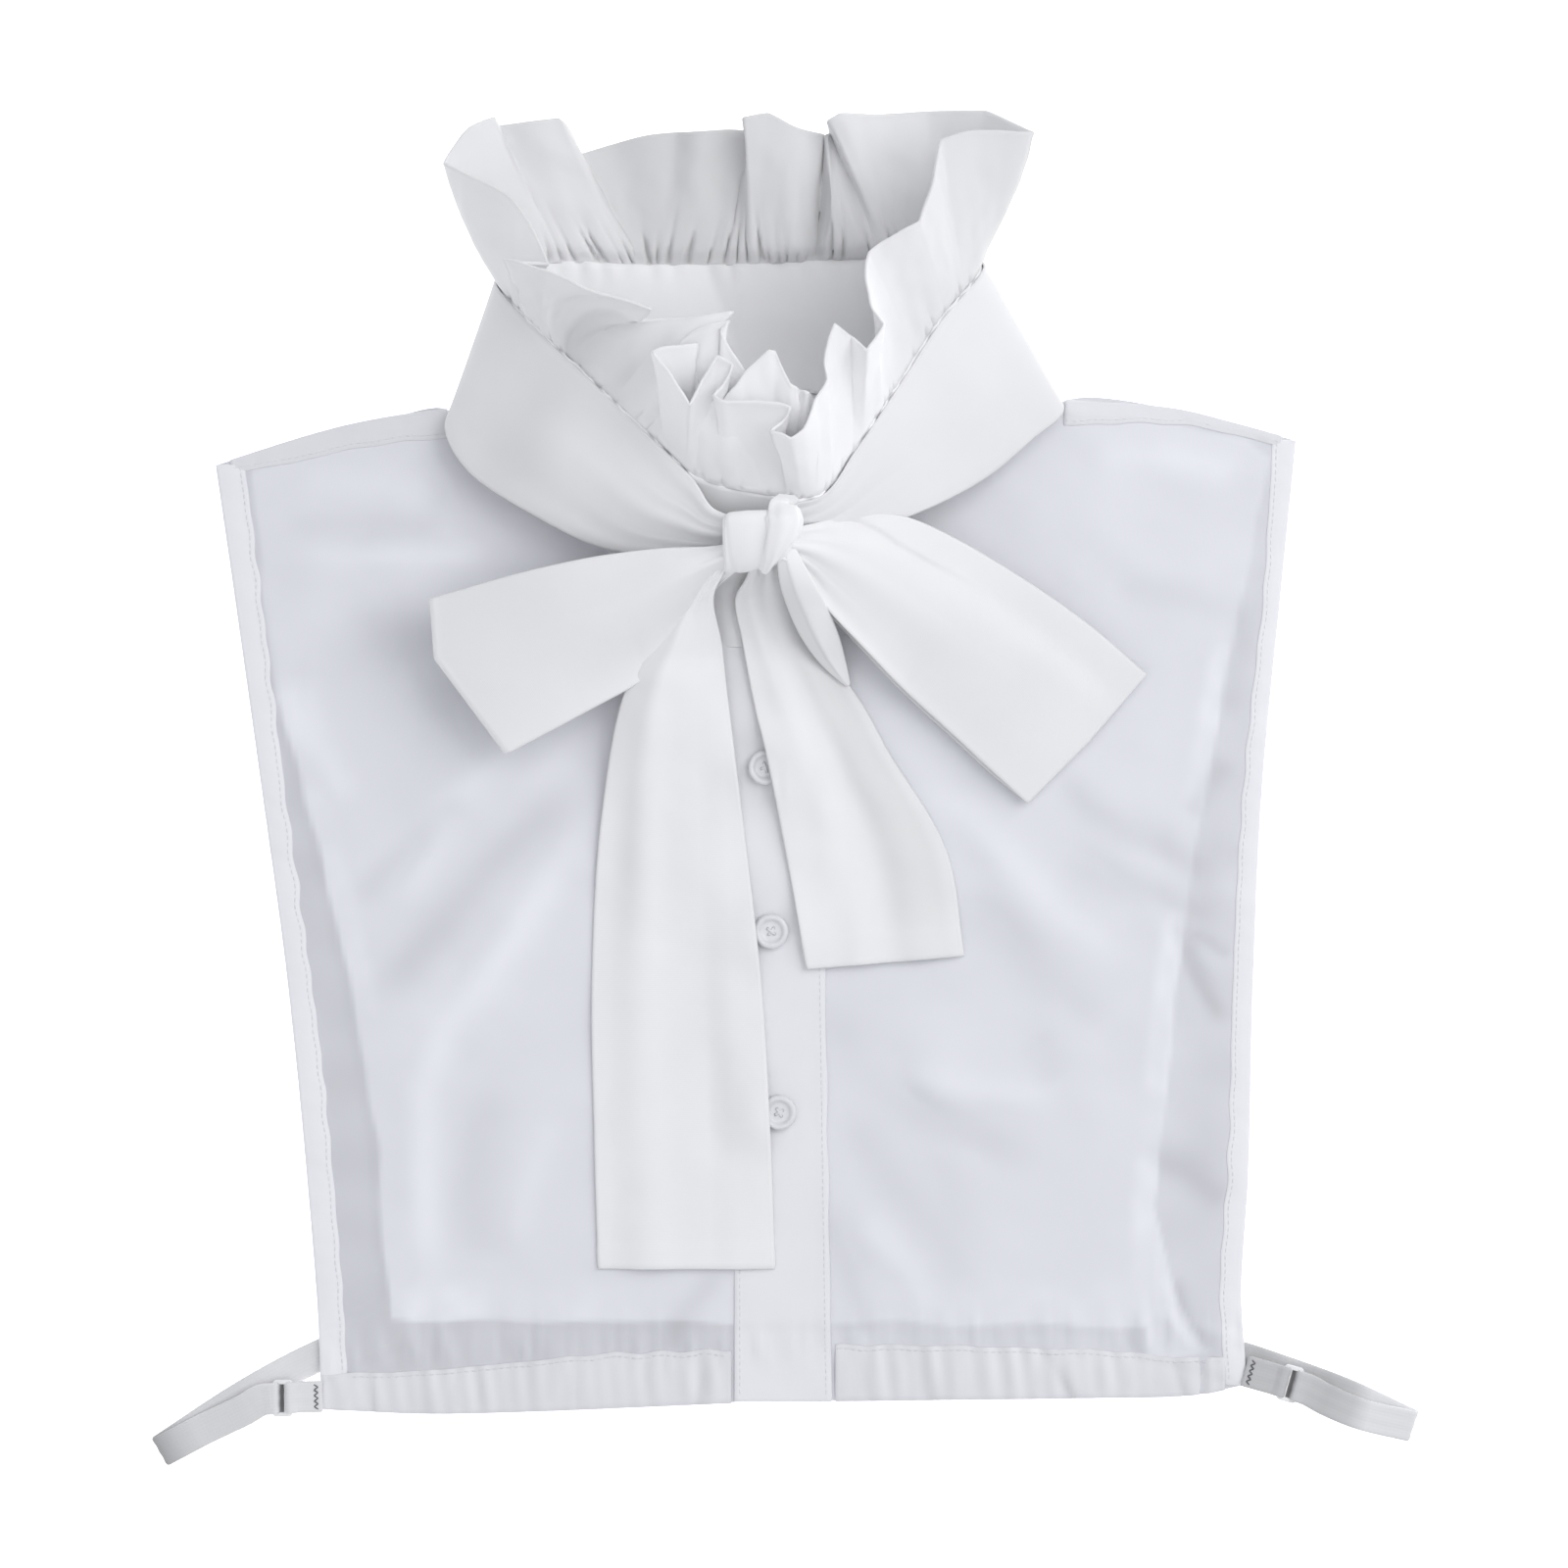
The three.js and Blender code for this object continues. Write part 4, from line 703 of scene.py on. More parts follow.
def edge_outward(points, loop, ring):
    """Directions that point out of a grid at its border."""
    lines, columns = points.shape[:2]
    row, column = loop // columns, loop % columns
    inner_row = np.clip(row, 1, lines - 2)
    inner_column = column if ring else np.clip(column, 1, columns - 2)
    return unit(points[row, column] - points[inner_row, inner_column])


def linked(name, data):
    """Object of some data, put into the scene."""
    made = bpy.data.objects.new(name, data)
    bpy.context.collection.objects.link(made)
    return made


def new_object(name, points, faces, uvs=None):
    """Smooth-shaded mesh object from millimetre points and lists of their indices."""
    mesh = bpy.data.meshes.new(name)
    mesh.from_pydata(((points + SHIFT) * MM).tolist(), [], faces)
    mesh.update()
    mesh.shade_smooth()
    if uvs is not None:
        layer = mesh.uv_layers.new(name="cloth")
        corners = np.zeros(len(mesh.loops), int)
        mesh.loops.foreach_get("vertex_index", corners)
        layer.data.foreach_set("uv", uvs[corners].ravel() * MM)
    return linked(name, mesh)


def cloth(name, points, thickness, flat, ring=False, layer_and_shade_marks=None):
    """Closed sheet about a grid of points, with a rounded edge.

    flat is the size of the cloth laid out flat, or where each point is on it. layer_and_shade_marks are kept
    at each point and tone the sheet's material: they count the layers that seem to lie there on the front and
    its trims, and they carry painted shade and light on the front, lower hems, tie, ruffle, stand and
    elastics.
    """
    lines, columns = points.shape[:2]
    count = lines * columns
    thickness = np.broadcast_to(thickness, (lines, columns))[..., None]
    half = normals(points, ring) * thickness / 2
    parts = [(points + half).reshape(-1, 3), (points - half).reshape(-1, 3)]
    faces = [grid_faces(lines, columns, ring), grid_faces(lines, columns, ring, count)[:, ::-1]]
    size = 2 * count
    loops = border(lines, columns, ring)
    for loop in loops:
        following = np.roll(loop, -1)
        rim = np.arange(len(loop)) + size
        rim_next = np.roll(rim, -1)
        size += len(loop)
        outward = edge_outward(points, loop, ring) * thickness.reshape(-1, 1)[loop]
        parts.append(points.reshape(-1, 3)[loop] + EDGE_ROUNDING * outward)
        faces.append(np.stack([loop, rim, rim_next, following], axis=-1))
        faces.append(np.stack([rim, loop + count, following + count, rim_next], axis=-1))

    def spread(values):
        """Values of the grid, for both faces of the sheet and its edge."""
        return np.concatenate([values, values] + [values[loop] for loop in loops])

    places_flat = np.stack(grid(columns, lines, ring), axis=-1) * flat if isinstance(flat, tuple) else flat
    uvs = spread(places_flat.reshape(-1, 2))
    made = new_object(name, np.concatenate(parts), np.concatenate(faces).tolist(), uvs)
    if layer_and_shade_marks is not None:
        mark = made.data.attributes.new("layers_and_shade", "FLOAT", "POINT")
        layer_and_shade_marks = np.broadcast_to(layer_and_shade_marks, (lines, columns)).ravel()
        mark.data.foreach_set("value", spread(layer_and_shade_marks).astype(np.float32))
    return made


def raised(plan, z):
    """Grid of plan points with their heights."""
    return np.dstack([plan, z])


def patch(top, bottom, left, right, columns, lines):
    """Plan grid between four edges, each a function of a fraction."""
    u, v = grid(columns, lines)
    t, b, l, r = top(u[0]), bottom(u[0]), left(v[:, 0]), right(v[:, 0])
    u, v = u[..., None], v[..., None]
    corners = t[0] * (1 - u) * (1 - v) + t[-1] * u * (1 - v) + b[0] * (1 - u) * v + b[-1] * u * v
    return t[None] * (1 - v) + b[None] * v + l[:, None] * (1 - u) + r[:, None] * u - corners


# Materials
def set_inputs(material, node, inputs):
    """Gives inputs of a node a value each, or a link from another node's output."""
    for name, value in inputs.items():
        if isinstance(value, bpy.types.NodeSocket):
            material.node_tree.links.new(value, node.inputs[name])
        else:
            node.inputs[name].default_value = value


def add_node(material, kind, inputs, **settings):
    """Adds a shader node and returns its outputs."""
    node = material.node_tree.nodes.new("ShaderNode" + kind)
    for name, value in settings.items():
        setattr(node, name, value)
    set_inputs(material, node, inputs)
    return node.outputs


def add_ramp(material, value, *stops):
    """Colour that goes with a value from one (place, colour) to the next."""
    node = material.node_tree.nodes.new("ShaderNodeValToRGB")
    for element, (position, colour) in zip(node.color_ramp.elements, stops):
        element.position = position
        element.color = (*colour, 1)
    set_inputs(material, node, {"Fac": value})
    return node.outputs["Color"]


def principled(name, colour, roughness, sheen=0.0, alpha=1.0):
    """Material with a principled shader; returns both."""
    material = bpy.data.materials.new(name)
    material.use_nodes = True
    shader = material.node_tree.nodes["Principled BSDF"]
    set_inputs(material, shader, {
        "Base Color": (*colour, 1), "Roughness": roughness, "Alpha": alpha, "Sheen Weight": sheen,
        "Sheen Roughness": 0.5, "Specular IOR Level": 0.25,
    })
    return material, shader


def toned(material, bare, full, layer_and_shade_marks):
    """Scales a material's colour between two tones by the mark on the sheet: layers that seem to lie there,
    and painted shade and light.
    """
    shader = material.node_tree.nodes["Principled BSDF"]
    colour = shader.inputs["Base Color"].links[0].from_socket
    mark = add_node(material, "Attribute", {}, attribute_name="layers_and_shade")["Fac"]
    tone = add_node(material, "MapRange", {"Value": mark, "From Max": layer_and_shade_marks, "To Min": bare, "To Max": full})
    scaled = add_node(material, "VectorMath", {0: colour, "Scale": tone["Result"]}, operation="SCALE")
    set_inputs(material, shader, {"Base Color": scaled["Vector"]})
    return material


def woven(name, colour, shade, tones=None, alpha=1.0):
    """Fine plain weave with slubs and a slightly uneven colour, shade being its darker tone.

    tones are the colour's scale at a mark of nought and at the highest mark, and that mark; the marks count
    layers and carry painted shade and light.
    """
    material, shader = principled(name, colour, 0.88, sheen=0.12, alpha=alpha)
    place = add_node(material, "TexCoord", {})
    uneven = add_node(material, "TexNoise", {"Vector": place["Object"], "Scale": 34.0, "Detail": 5.0})
    slub = add_node(material, "TexNoise", {"Vector": place["Object"], "Scale": 900.0, "Detail": 3.0})
    thread = {
        "Vector": place["UV"], "Scale": BAND_SCALE / WEAVE_PITCH,
        "Distortion": 1.2, "Detail": 2.0, "Detail Scale": 1.5,
    }
    warp, weft = (add_node(material, "TexWave", thread, bands_direction=axis) for axis in "XY")
    cross = add_node(material, "Math", {0: warp["Fac"], 1: weft["Fac"]})
    height = add_node(material, "Math", {0: cross["Value"], 1: slub["Fac"]})
    relief = add_node(material, "Bump", {"Height": height["Value"], "Strength": 0.07, "Distance": 0.0002})
    base = add_ramp(material, uneven["Fac"], (0.25, shade), (0.7, colour))
    set_inputs(material, shader, {"Base Color": base, "Normal": relief["Normal"]})
    return toned(material, *tones) if tones else material


def button_material():
    material, shader = principled("pearl_button", (0.76, 0.77, 0.80), 0.3)
    cloud = add_node(material, "TexNoise", {
        "Vector": add_node(material, "TexCoord", {})["Object"],
        "Scale": 260.0, "Detail": 4.0, "Distortion": 1.6,
    })
    base = add_ramp(material, cloud["Fac"], (0.0, (0.70, 0.71, 0.74)), (1.0, (0.82, 0.82, 0.84)))
    set_inputs(material, shader, {
        "Base Color": base, "Coat Weight": 0.5, "Subsurface Weight": 0.3, "Subsurface Radius": (0.0012,) * 3,
    })
    return material


def elastic_material():
    material, shader = principled("elastic", (0.78, 0.78, 0.80), 0.8, sheen=0.1)
    place = add_node(material, "TexCoord", {})["UV"]
    ribs = add_node(material, "TexWave", {"Vector": place, "Scale": 300.0}, bands_direction="Y")["Fac"]
    picks = add_node(material, "TexWave", {"Vector": place, "Scale": 420.0}, bands_direction="X")["Fac"]
    height = add_node(material, "Math", {0: ribs, 1: picks})["Value"]
    relief = add_node(material, "Bump", {"Height": height, "Strength": 0.08, "Distance": 0.0003})
    base = add_ramp(material, ribs, (0.0, (0.77, 0.77, 0.78)), (1.0, (0.785, 0.785, 0.795)))
    set_inputs(material, shader, {"Base Color": base, "Normal": relief["Normal"]})
    return toned(material, 1.0, 0.3, 2.5)


def plastic_material():
    material, shader = principled("slider_plastic", (0.86, 0.86, 0.865), 0.35)
    place = add_node(material, "TexCoord", {})["Object"]
    grain = add_node(material, "TexNoise", {"Vector": place, "Scale": 700.0})["Fac"]
    rough = add_node(material, "MapRange", {"Value": grain, "To Min": 0.3, "To Max": 0.45})
    set_inputs(material, shader, {"Roughness": rough["Result"]})
    return material


SHEER = woven("sheer_cloth", (0.83, 0.835, 0.88), (0.81, 0.815, 0.865), alpha=0.88)
# Front panels: darker where nothing lies under them, lighter over the back's hems; their mark also carries
# painted shade and highlight of folds and puckers, and painted shadow and light beside the bow's left loop
PANEL = woven("sheer_front", (0.872, 0.877, 0.922), (0.852, 0.857, 0.907), (0.64, 1.09, 3.0), alpha=0.92)
TRIM = woven("trim_cloth", (0.84, 0.84, 0.87), (0.815, 0.815, 0.845), (0.96, 1.12, 1.0), alpha=0.97)
# The lower hems: a low mark is painted shade in a crease, and the mark also rises and falls unevenly along
# the hem
HEM = woven("hem_cloth", (0.84, 0.84, 0.87), (0.815, 0.815, 0.845), (0.8, 1.12, 2.0), alpha=0.97)
# The tie, ruffle and stand: a high mark is painted shade; on the band a high mark is painted light
TIE = woven("tie_cloth", (0.86, 0.86, 0.865), (0.835, 0.835, 0.845), (1.04, 0.84, 1.0))
RUFFLE = woven("ruffle_cloth", (0.805, 0.805, 0.812), (0.78, 0.78, 0.79), (1.13, 0.6, 3.445))
STAND = woven("stand_cloth", (0.93, 0.93, 0.935), (0.905, 0.905, 0.915), (1.05, 0.87, 1.0))
BAND_CLOTH = woven("band_cloth", (0.80, 0.80, 0.808), (0.775, 0.775, 0.785), (0.92, 1.12, 1.0))
PEARL = button_material()
ELASTIC = elastic_material()
# The tabs' zigzag stitches are painted dark, as the shade in their needle holes
THREAD = woven("tab_stitch_shade", (0.2, 0.2, 0.21), (0.12, 0.12, 0.13))
PLASTIC = plastic_material()


def dress(piece, material, slot, *nodes):
    """Gives a piece its material and body, and hides the parts of the model that it stands for; slot is not
    used.
    """
    piece.data.materials.append(material)
    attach(piece, "root")
    if nodes:
        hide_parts(*nodes)
    return piece


# Back, front and trims
def edge_of(curve):
    """A curve as an edge of a patch."""
    return lambda t: curve.at(t)[:, :2]


def line(a, b):
    """A straight line as an edge of a patch."""
    return lambda t: mix(np.array(a, float), np.array(b, float), t[:, None])


NECK_ROWS = places(NECK_SEAM)
NECK_ROWS[:, 2] = mix(STAND_FLOOR, front_base(NECK_SEAM["x"], NECK_SEAM["y"]) + 0.9, NECK_SEAM["front"])
NECK = Curve(NECK_ROWS, closed=True)
TOP = Curve(places(TOP_SEAM, "x y z"), closed=True)
NECKLINE = Curve(places(NECK_SEAM)[NECK_SEAM["front"] == 1])


def neckline_at(x):
    """Fraction of the neckline's length at which it crosses x."""
    t = np.linspace(0.1, 0.9, 801)
    return float(np.interp(x, NECKLINE.at(t)[:, 0], t))


def build_back_hem(name, plan, flat):
    sheet = cloth(name, raised(plan, np.full(plan.shape[:2], BACK_HEM_LEVEL)), BACK_HEM_WALL, flat)
    return dress(sheet, TRIM, "trim_cloth")


def build_back():
    left, right, top = Curve(BACK_LEFT), Curve(BACK_RIGHT[::-1]), Curve(BACK_TOP[::-1])
    bottom = line(BACK_LEFT[-1], BACK_RIGHT[0])
    plan = patch(edge_of(top), bottom, edge_of(left), edge_of(right), 60, 56)
    z = BACK_LEVEL + 0.1 * waves(plan[..., 0], plan[..., 1], 60, 31)
    panel = dress(cloth("back_cloth", raised(plan, z), THIN, (300, 290)), SHEER, "sheer_cloth", "back_panel")
    hems = []
    u, v = grid(4, 90)
    for name, curve, inward, wide in (("back_hem_left", left, 1, 9), ("back_hem_right", right, -1, 10)):
        plan = curve.at(v[:, 0])[:, None] + np.dstack([inward * (0.4 + u * wide), 0 * u])
        hems.append(build_back_hem(name, plan, (wide, 280)))
    u, v = grid(110, 6)
    plan = np.dstack([mix(-117.5, 109, u), mix(-174.1, -175.7, u) + 16 * v])
    hems.append(build_back_hem("back_hem_bottom", plan, (226, 16)))
    return panel, hems


def side_glow(table, y, inside, wide):
    return read_down(table, "amount", y) * (1 - smooth(inside, wide - 3, wide + 2.5))


def layers_under_and_painted_shade(x, y):
    """What lies under the front, 1 nothing, 2 the back, more over its hems; with painted shade and highlight
    of its folds and puckers, and painted shadow and light beside the bow's left loop.
    """
    under = smooth(outline_depth(x, y, BACK_OUTLINE) + 0.7 * waves(x, y, 30, 41), -1.2, 0.8)
    under = np.maximum(under, 0.8 * smooth(outline_depth(x, y, TUCK), -0.8, 0.8))
    left, right = (np.interp(y, *np.array(side).T[::-1]) for side in (BACK_LEFT[::-1], BACK_RIGHT))
    bottom = np.interp(x, GLOW_BOTTOM["x"], GLOW_BOTTOM["amount"]) * (1 - smooth(y, -167.5, -158.5))
    glow = np.maximum.reduce([
        side_glow(GLOW_LEFT, y, x - left, 7.5), side_glow(GLOW_RIGHT, y, right - x, 7.0), bottom,
    ])
    # Where it is single, the front gets painted shade on its left half, darker than on its right
    single = 0.42 * smooth(x, -20, 20) + 0.14 * waves(x, y, 26, 43)
    doubled = 1.17 + 0.62 * glow * (1 + 0.35 * waves(x, y, 13, 44)) + 0.06 * waves(x, y, 40, 42)
    # Painted shade and highlight of the puckers above the hem
    puckers = 0.2 * near_hem(x, y) * hem_puckers(x, y)
    # Painted shadow beside the bow's left loop, and painted light between it and the neck band
    painted_shadow_and_light = sum(amount * spot(x, y, (cx, cy), (rx, ry)) for cx, cy, rx, ry, amount in each(FRONT_PAINTED_SHADOW_AND_LIGHT))
    # Painted shade and highlight of the folds, stronger on the left, and strongest where the front is single
    # at its right edge
    folds = FOLD_TONE * (1 + 0.3 * (x < -20) + 0.7 * smooth(x, 116, 126)) * front_folds(x, y)
    return 1 + mix(single, doubled, under) + folds + puckers - painted_shadow_and_light


def build_half(side, edges, columns, flat):
    """One half of the front, between its upper, lower, left and right edge."""
    plan = patch(*edges, columns, 236)
    x, y = plan[..., 0], plan[..., 1]
    middle = raised(plan, front_under(x, y) + THIN / 2)
    sheet = cloth(f"front_{side}", middle, THIN, flat, layer_and_shade_marks=layers_under_and_painted_shade(x, y))
    return dress(sheet, PANEL, "sheer_cloth", f"front_panel_{side}")


def build_front():
    """Both halves; each ends under the placket, at a corner of the neckline and a corner of the hem."""
    left_end, right_start = neckline_at(LEFT_CORNER[0]), neckline_at(RIGHT_CORNER[0])
    left_top = Curve([*places(LEFT_SHOULDER), *NECKLINE.at(np.linspace(0.03, left_end, 8))])
    left_hem = Curve([*places(LEFT_HEM)[:3], (*LEFT_CORNER, 0)])
    left = build_half("left", (
        edge_of(left_top), edge_of(left_hem), edge_of(Curve(places(LEFT_SIDE))),
        line(NECKLINE.at(left_end)[:2], LEFT_CORNER),
    ), 116, (150, 320))
    right_top = Curve([*NECKLINE.at(np.linspace(right_start, 0.97, 9)), *places(RIGHT_SHOULDER)])
    right_hem = Curve([(*RIGHT_CORNER, 0), *places(RIGHT_HEM)])
    right = build_half("right", (
        edge_of(right_top), edge_of(right_hem), line(NECKLINE.at(right_start)[:2], RIGHT_CORNER),
        edge_of(Curve(places(RIGHT_SIDE))),
    ), 122, (155, 320))
    return left, right


def build_trim(name, table, inward, start, stop):
    """Doubled strip along an edge, folded round it; returns it with its line of stitches."""
    hem = "hem" in name
    outer = Curve(places(table))
    length = outer.length * (stop - start)
    u, v = grid(int(length / 1.1), 10)
    t = mix(start, stop, u[0])
    edge = outer.at(t)[:, :2]
    width = read(table, "band", t)
    wander = 0.35 * ripple(u[0] * length, 16, len(name))
    plan = edge + np.array(inward) * (v * (width + wander) - 0.3 * (1 - v))[..., None]
    x, y = plan[..., 0], plan[..., 1]
    # The strip puffs up between its fold and its stitches
    uneven = ripple(u * length, 8, 5 + len(name)) + 0.4 * ripple(u * length, 4, 6 + len(name)) * v
    puff = 0.55 * np.sin(np.pi * np.clip(v * 1.12, 0, 1)) * (1 + (0.75 if hem else 0.35) * uneven)
    z = front_top(x, y) + TRIM_WALL / 2 - 0.1 + puff * (0.9 if hem else 0.45)
    layer_and_shade_marks = 0.7 if "binding" in name else 0.0
    if hem:
        # Painted shade in the creases, which are pressed down too; the mark also rises and falls unevenly
        # along the hem
        creases = (1 - 0.5 * v) * sum(
            dark * bump(x, mix(low, high, v), wide) for low, high, wide, dark in each(HEM_CREASES)
        )
        z = z - 0.35 * creases
        layer_and_shade_marks = 1.0 + 0.4 * ripple(u * length + 2 * v, 7, 8 + len(name)) * (0.6 + 0.4 * v) - creases
    if name == "hem_left":
        # It lies over the end of the binding
        z = z + 0.5 * (1 - smooth(x, -143, -140))
    if name == "hem_right":
        # A fold beside the corner
        z = z - 1.1 * bump(x, 136.6, 1.1) + 0.5 * bump(x, 139.4, 1.6)
    wall = TRIM_WALL * (1 - 0.4 * v ** 6)
    piece = cloth(name + "_cloth", raised(plan, z), wall, (length, float(np.mean(width))), layer_and_shade_marks=layer_and_shade_marks)
    dress(piece, HEM if hem else TRIM, "trim_cloth", name)
    seam = edge + np.array(inward) * (width + wander - STITCH_INSET)[:, None]
    return piece, np.column_stack([seam, front_top(*seam.T) + TRIM_WALL - 0.02])


def placket_left(y):
    tapered = (-PLACKET["top"], -PLACKET["left_straight"])
    return np.interp(-y, tapered, (PLACKET["left_top"], PLACKET["left_bottom"]))


def placket_right(y):
    ends = (-PLACKET["top"], -PLACKET["bottom"])
    return np.interp(-y, ends, (PLACKET["right_top"], PLACKET["right_bottom"]))


def placket_top(x, y):
    """Upper side of the button band where it lies on the front."""
    lifted = 0.35 * smooth(x, placket_right(y) - 5, placket_right(y)) + 0.2 * waves(x * 0.3, y, 24, 51)
    return front_top(x, y) + 0.15 + TRIM_WALL + np.maximum(lifted, -0.05)


def build_placket():
    """The button band, and its two lines of stitches."""
    u, v = grid(22, 260)
    y = mix(PLACKET["top"], PLACKET["bottom"], v)
    x = mix(placket_left(y), placket_right(y) + 0.25 * ripple(y, 30, 52), u)
    points = np.dstack([x, y, placket_top(x, y) - TRIM_WALL / 2])
    piece = cloth("placket_cloth", points, TRIM_WALL, (30, 256), layer_and_shade_marks=0.45)
    dress(piece, TRIM, "trim_cloth", "placket")
    y = np.linspace(PLACKET["top"] - 4, PLACKET["bottom"] + 1.5, 400)
    sides = (placket_left(y) + PLACKET_STITCH_INSET, placket_right(y) - PLACKET_STITCH_INSET)
    return piece, [np.column_stack([x, y, placket_top(x, y)]) for x in sides]


# Stand and ruffle
def build_stand():
    u, v = grid(400, 24, ring=True)
    points = mix(NECK.at(u[0])[None], TOP.at(u[0])[None], v[..., None])
    arc = u * TOP.length
    push = 0.45 * bump(v, 1, 0.12) * ripple(arc, 7, 61) + 0.5 * bump(v, 0, 0.16) * ripple(arc, 9, 62)
    push = push + 0.5 * waves(arc, v * 40, 34, 63)
    points = points + normals(points, ring=True) * push[..., None]
    points[..., 2] = np.maximum(points[..., 2], STAND_FLOOR)
    # Painted light on its left inner side up to a slanting line, and painted shade on the rest, more towards
    # the back
    behind = smooth(points[..., 0] - 0.35 * (168 - points[..., 1]), -26.5, -22.5)
    shaded = mix(0.27, 0.8 * smooth(points[..., 1], 126, 150), behind)
    piece = cloth("collar_stand_cloth", points, STAND_WALL, (TOP.length, 42), ring=True, layer_and_shade_marks=shaded)
    return dress(piece, STAND, "tie_cloth", "collar_stand")


def fold_steps(seam, free, closed):
    """Fractions at which a folded sheet has its columns: one on each fold and enough between."""
    spans = len(seam.points) - (0 if closed else 1)
    steps = []
    for span in range(spans):
        t = (span + np.linspace(0, 1, 9)) / spans
        along_seam, along_edge = (
            np.linalg.norm(np.diff(curve.point(t), axis=0), axis=1).sum() for curve in (seam, free)
        )
        columns = int(np.clip(max(along_seam / SEAM_STEP, along_edge / EDGE_STEP), 4, 24))
        steps.append(span + np.arange(columns) / columns)
    if not closed:
        steps.append([float(spans)])
    return np.concatenate(steps) / spans


def pinches(gap, seed):
    """Gathers along a seam as a function of the place on it: up to 1 in narrow pinches, 0 between."""
    count, reach = 200, 400
    random = np.random.default_rng(seed)
    centres = np.cumsum(gap * random.uniform(0.4, 1.6, count))
    wide = random.uniform(0.45, 1.0, count)
    deep = random.uniform(0.3, 1.0, count)
    x = np.arange(0, reach, 0.1)
    profile = np.max(deep * bump(x[:, None], centres, wide), axis=1)
    return lambda arc: np.interp(arc % reach, x, profile)


def leaf_hollow_and_shade(x, y):
    """Hollow under the left leaf, also painted as shade: deepest along its round upper left rim, fading
    towards the lower right.
    """
    dx, dy = x + 58.5, y - 142
    upper_left = (dy - dx) / math.sqrt(2)
    return (1 - smooth(np.hypot(dx, dy), 12.4, 13.8)) * smooth(upper_left, -7, 11)


def ruffle_tone(x, y, arc, v, away):
    """Painted shade and light on the ruffle where the camera sees it at x and y, by its place along and below
    the seam.
    """
    low_seam = [0, 27, 34, 40, 345, 352, 372, 376, 390, TOP.length]
    low = np.interp(arc, low_seam, [1, 1, 0.3, 0, 0, 0.4, 1, 0.4, 0.4, 1])
    gap = smooth(arc, 367.6, 369) * (1 - smooth(arc, 371.4, 375))
    gap = gap * (1 - smooth(v, 0.3, 0.7)) * smooth(away, 0, 1)
    right_leaf = smooth(arc, 268, 284) * (1 - smooth(arc, 312, 318))
    left_corner = spot(x, y, (-50, 134), (5, 7)) * (arc < 140) * (arc > 100)
    front = smooth(arc, 140, 150) * (1 - smooth(arc, 250, 272))
    # Painted shade towards the back, in a gap at the back, on the right leaf and at a spot on the left;
    # painted light on the front
    return 0.845 + low + 0.6 * gap + 0.45 * right_leaf + 0.4 * left_corner - 0.8 * front


def build_folds(name, table, closed, bends, drop):
    """Folded and gathered layer of the ruffle, from the upper seam to its free edge."""
    seam = Curve(TOP.at(table["seam"] / TOP.length) - (0, 0, drop), closed=closed)
    free = seen_curve(table, closed=closed, sharp=table["sharp"])
    t = fold_steps(seam, free, closed)
    v = np.linspace(0, 1, 44)[:, None]
    inner, outer = seam.point(t)[None], free.point(t)[None]
    marks = np.append(table["seam"], TOP.length + table["seam"][0]) if closed else table["seam"]
    arc = np.interp(t, np.linspace(0, 1, len(marks)), marks)[None] % TOP.length
    # The back lies on the table, and its cloth rises sooner from the seam
    back = np.interp(arc, [0, 62, 76, 322, 336, TOP.length], [1, 1, 0, 0, 1, 1])
    eased = v ** mix(1.0, 0.5, back)
    bow = 4 * eased * (1 - eased)
    points = mix(inner, outer, v[..., None])
    for axis, key in enumerate("xyz"):
        points[..., axis] += bow * smoothed(np.interp(arc[0], bends["seam"], bends[key]), 4 if closed else 1)
    x, y = seen(points)
    under_leaf = leaf_hollow_and_shade(x, y) * smooth(arc, 100, 106) * (1 - smooth(arc, 134, 140))
    points[..., 2] -= 2.0 * under_leaf
    tall = np.linalg.norm(outer - inner, axis=-1)
    away = v * tall
    edge = np.linalg.norm(np.diff(outer[0], axis=0), axis=1)
    run = np.concatenate([[0], np.cumsum(edge)])[None] + 0 * v
    # Small puffs between the pinches at the seam, which go on as wider waves
    reach = mix(3.4, 11, back) * (1 + 0.25 * ripple(arc, 13, 75))
    pinch = pinches(5.2, 71)(arc + 0.15 * away * np.sin(arc / 9))
    notch = np.clip((pinch - away / mix(5.0, 13.0, back)) / 0.3, 0, 1) * np.clip(away / 0.4, 0, 1)
    puffs = mix(0.8, 2.2, back) * (1 - 0.7 * pinch) * bump(away, 0, reach) * smooth(away, 0, mix(3, 6, back))
    puffs = (1 - 2 * back) * (puffs - mix(0.5, 1.5, back) * notch)
    wide = 0.45 * np.exp(-away / 16) * smooth(away, 2, 8) * ripple(arc, 8, 72)
    soft = 0.4 * smooth(v, 0.1, 0.6) * waves(run, away, 26, 73)
    soft = soft + 0.12 * smooth(v, 0.1, 0.4) * waves(run, away, 9, 74)
    points = points + normals(points, ring=closed) * (puffs + wide + soft)[..., None]
    points[..., 2] = np.maximum(points[..., 2], RUFFLE_FLOOR)
    wall = THIN + 0.5 * smooth(away, tall - 1.5, tall - 0.5)
    # Besides ruffle_tone, painted shade in the hollow under the left leaf and in the notches of the gathers
    layer_and_shade_marks = ruffle_tone(x, y, arc, v, away) + 0.8 * under_leaf + mix(0.5, 0.6, back) * notch
    return cloth(name, points, wall, np.dstack([run, away]), ring=closed, layer_and_shade_marks=layer_and_shade_marks)


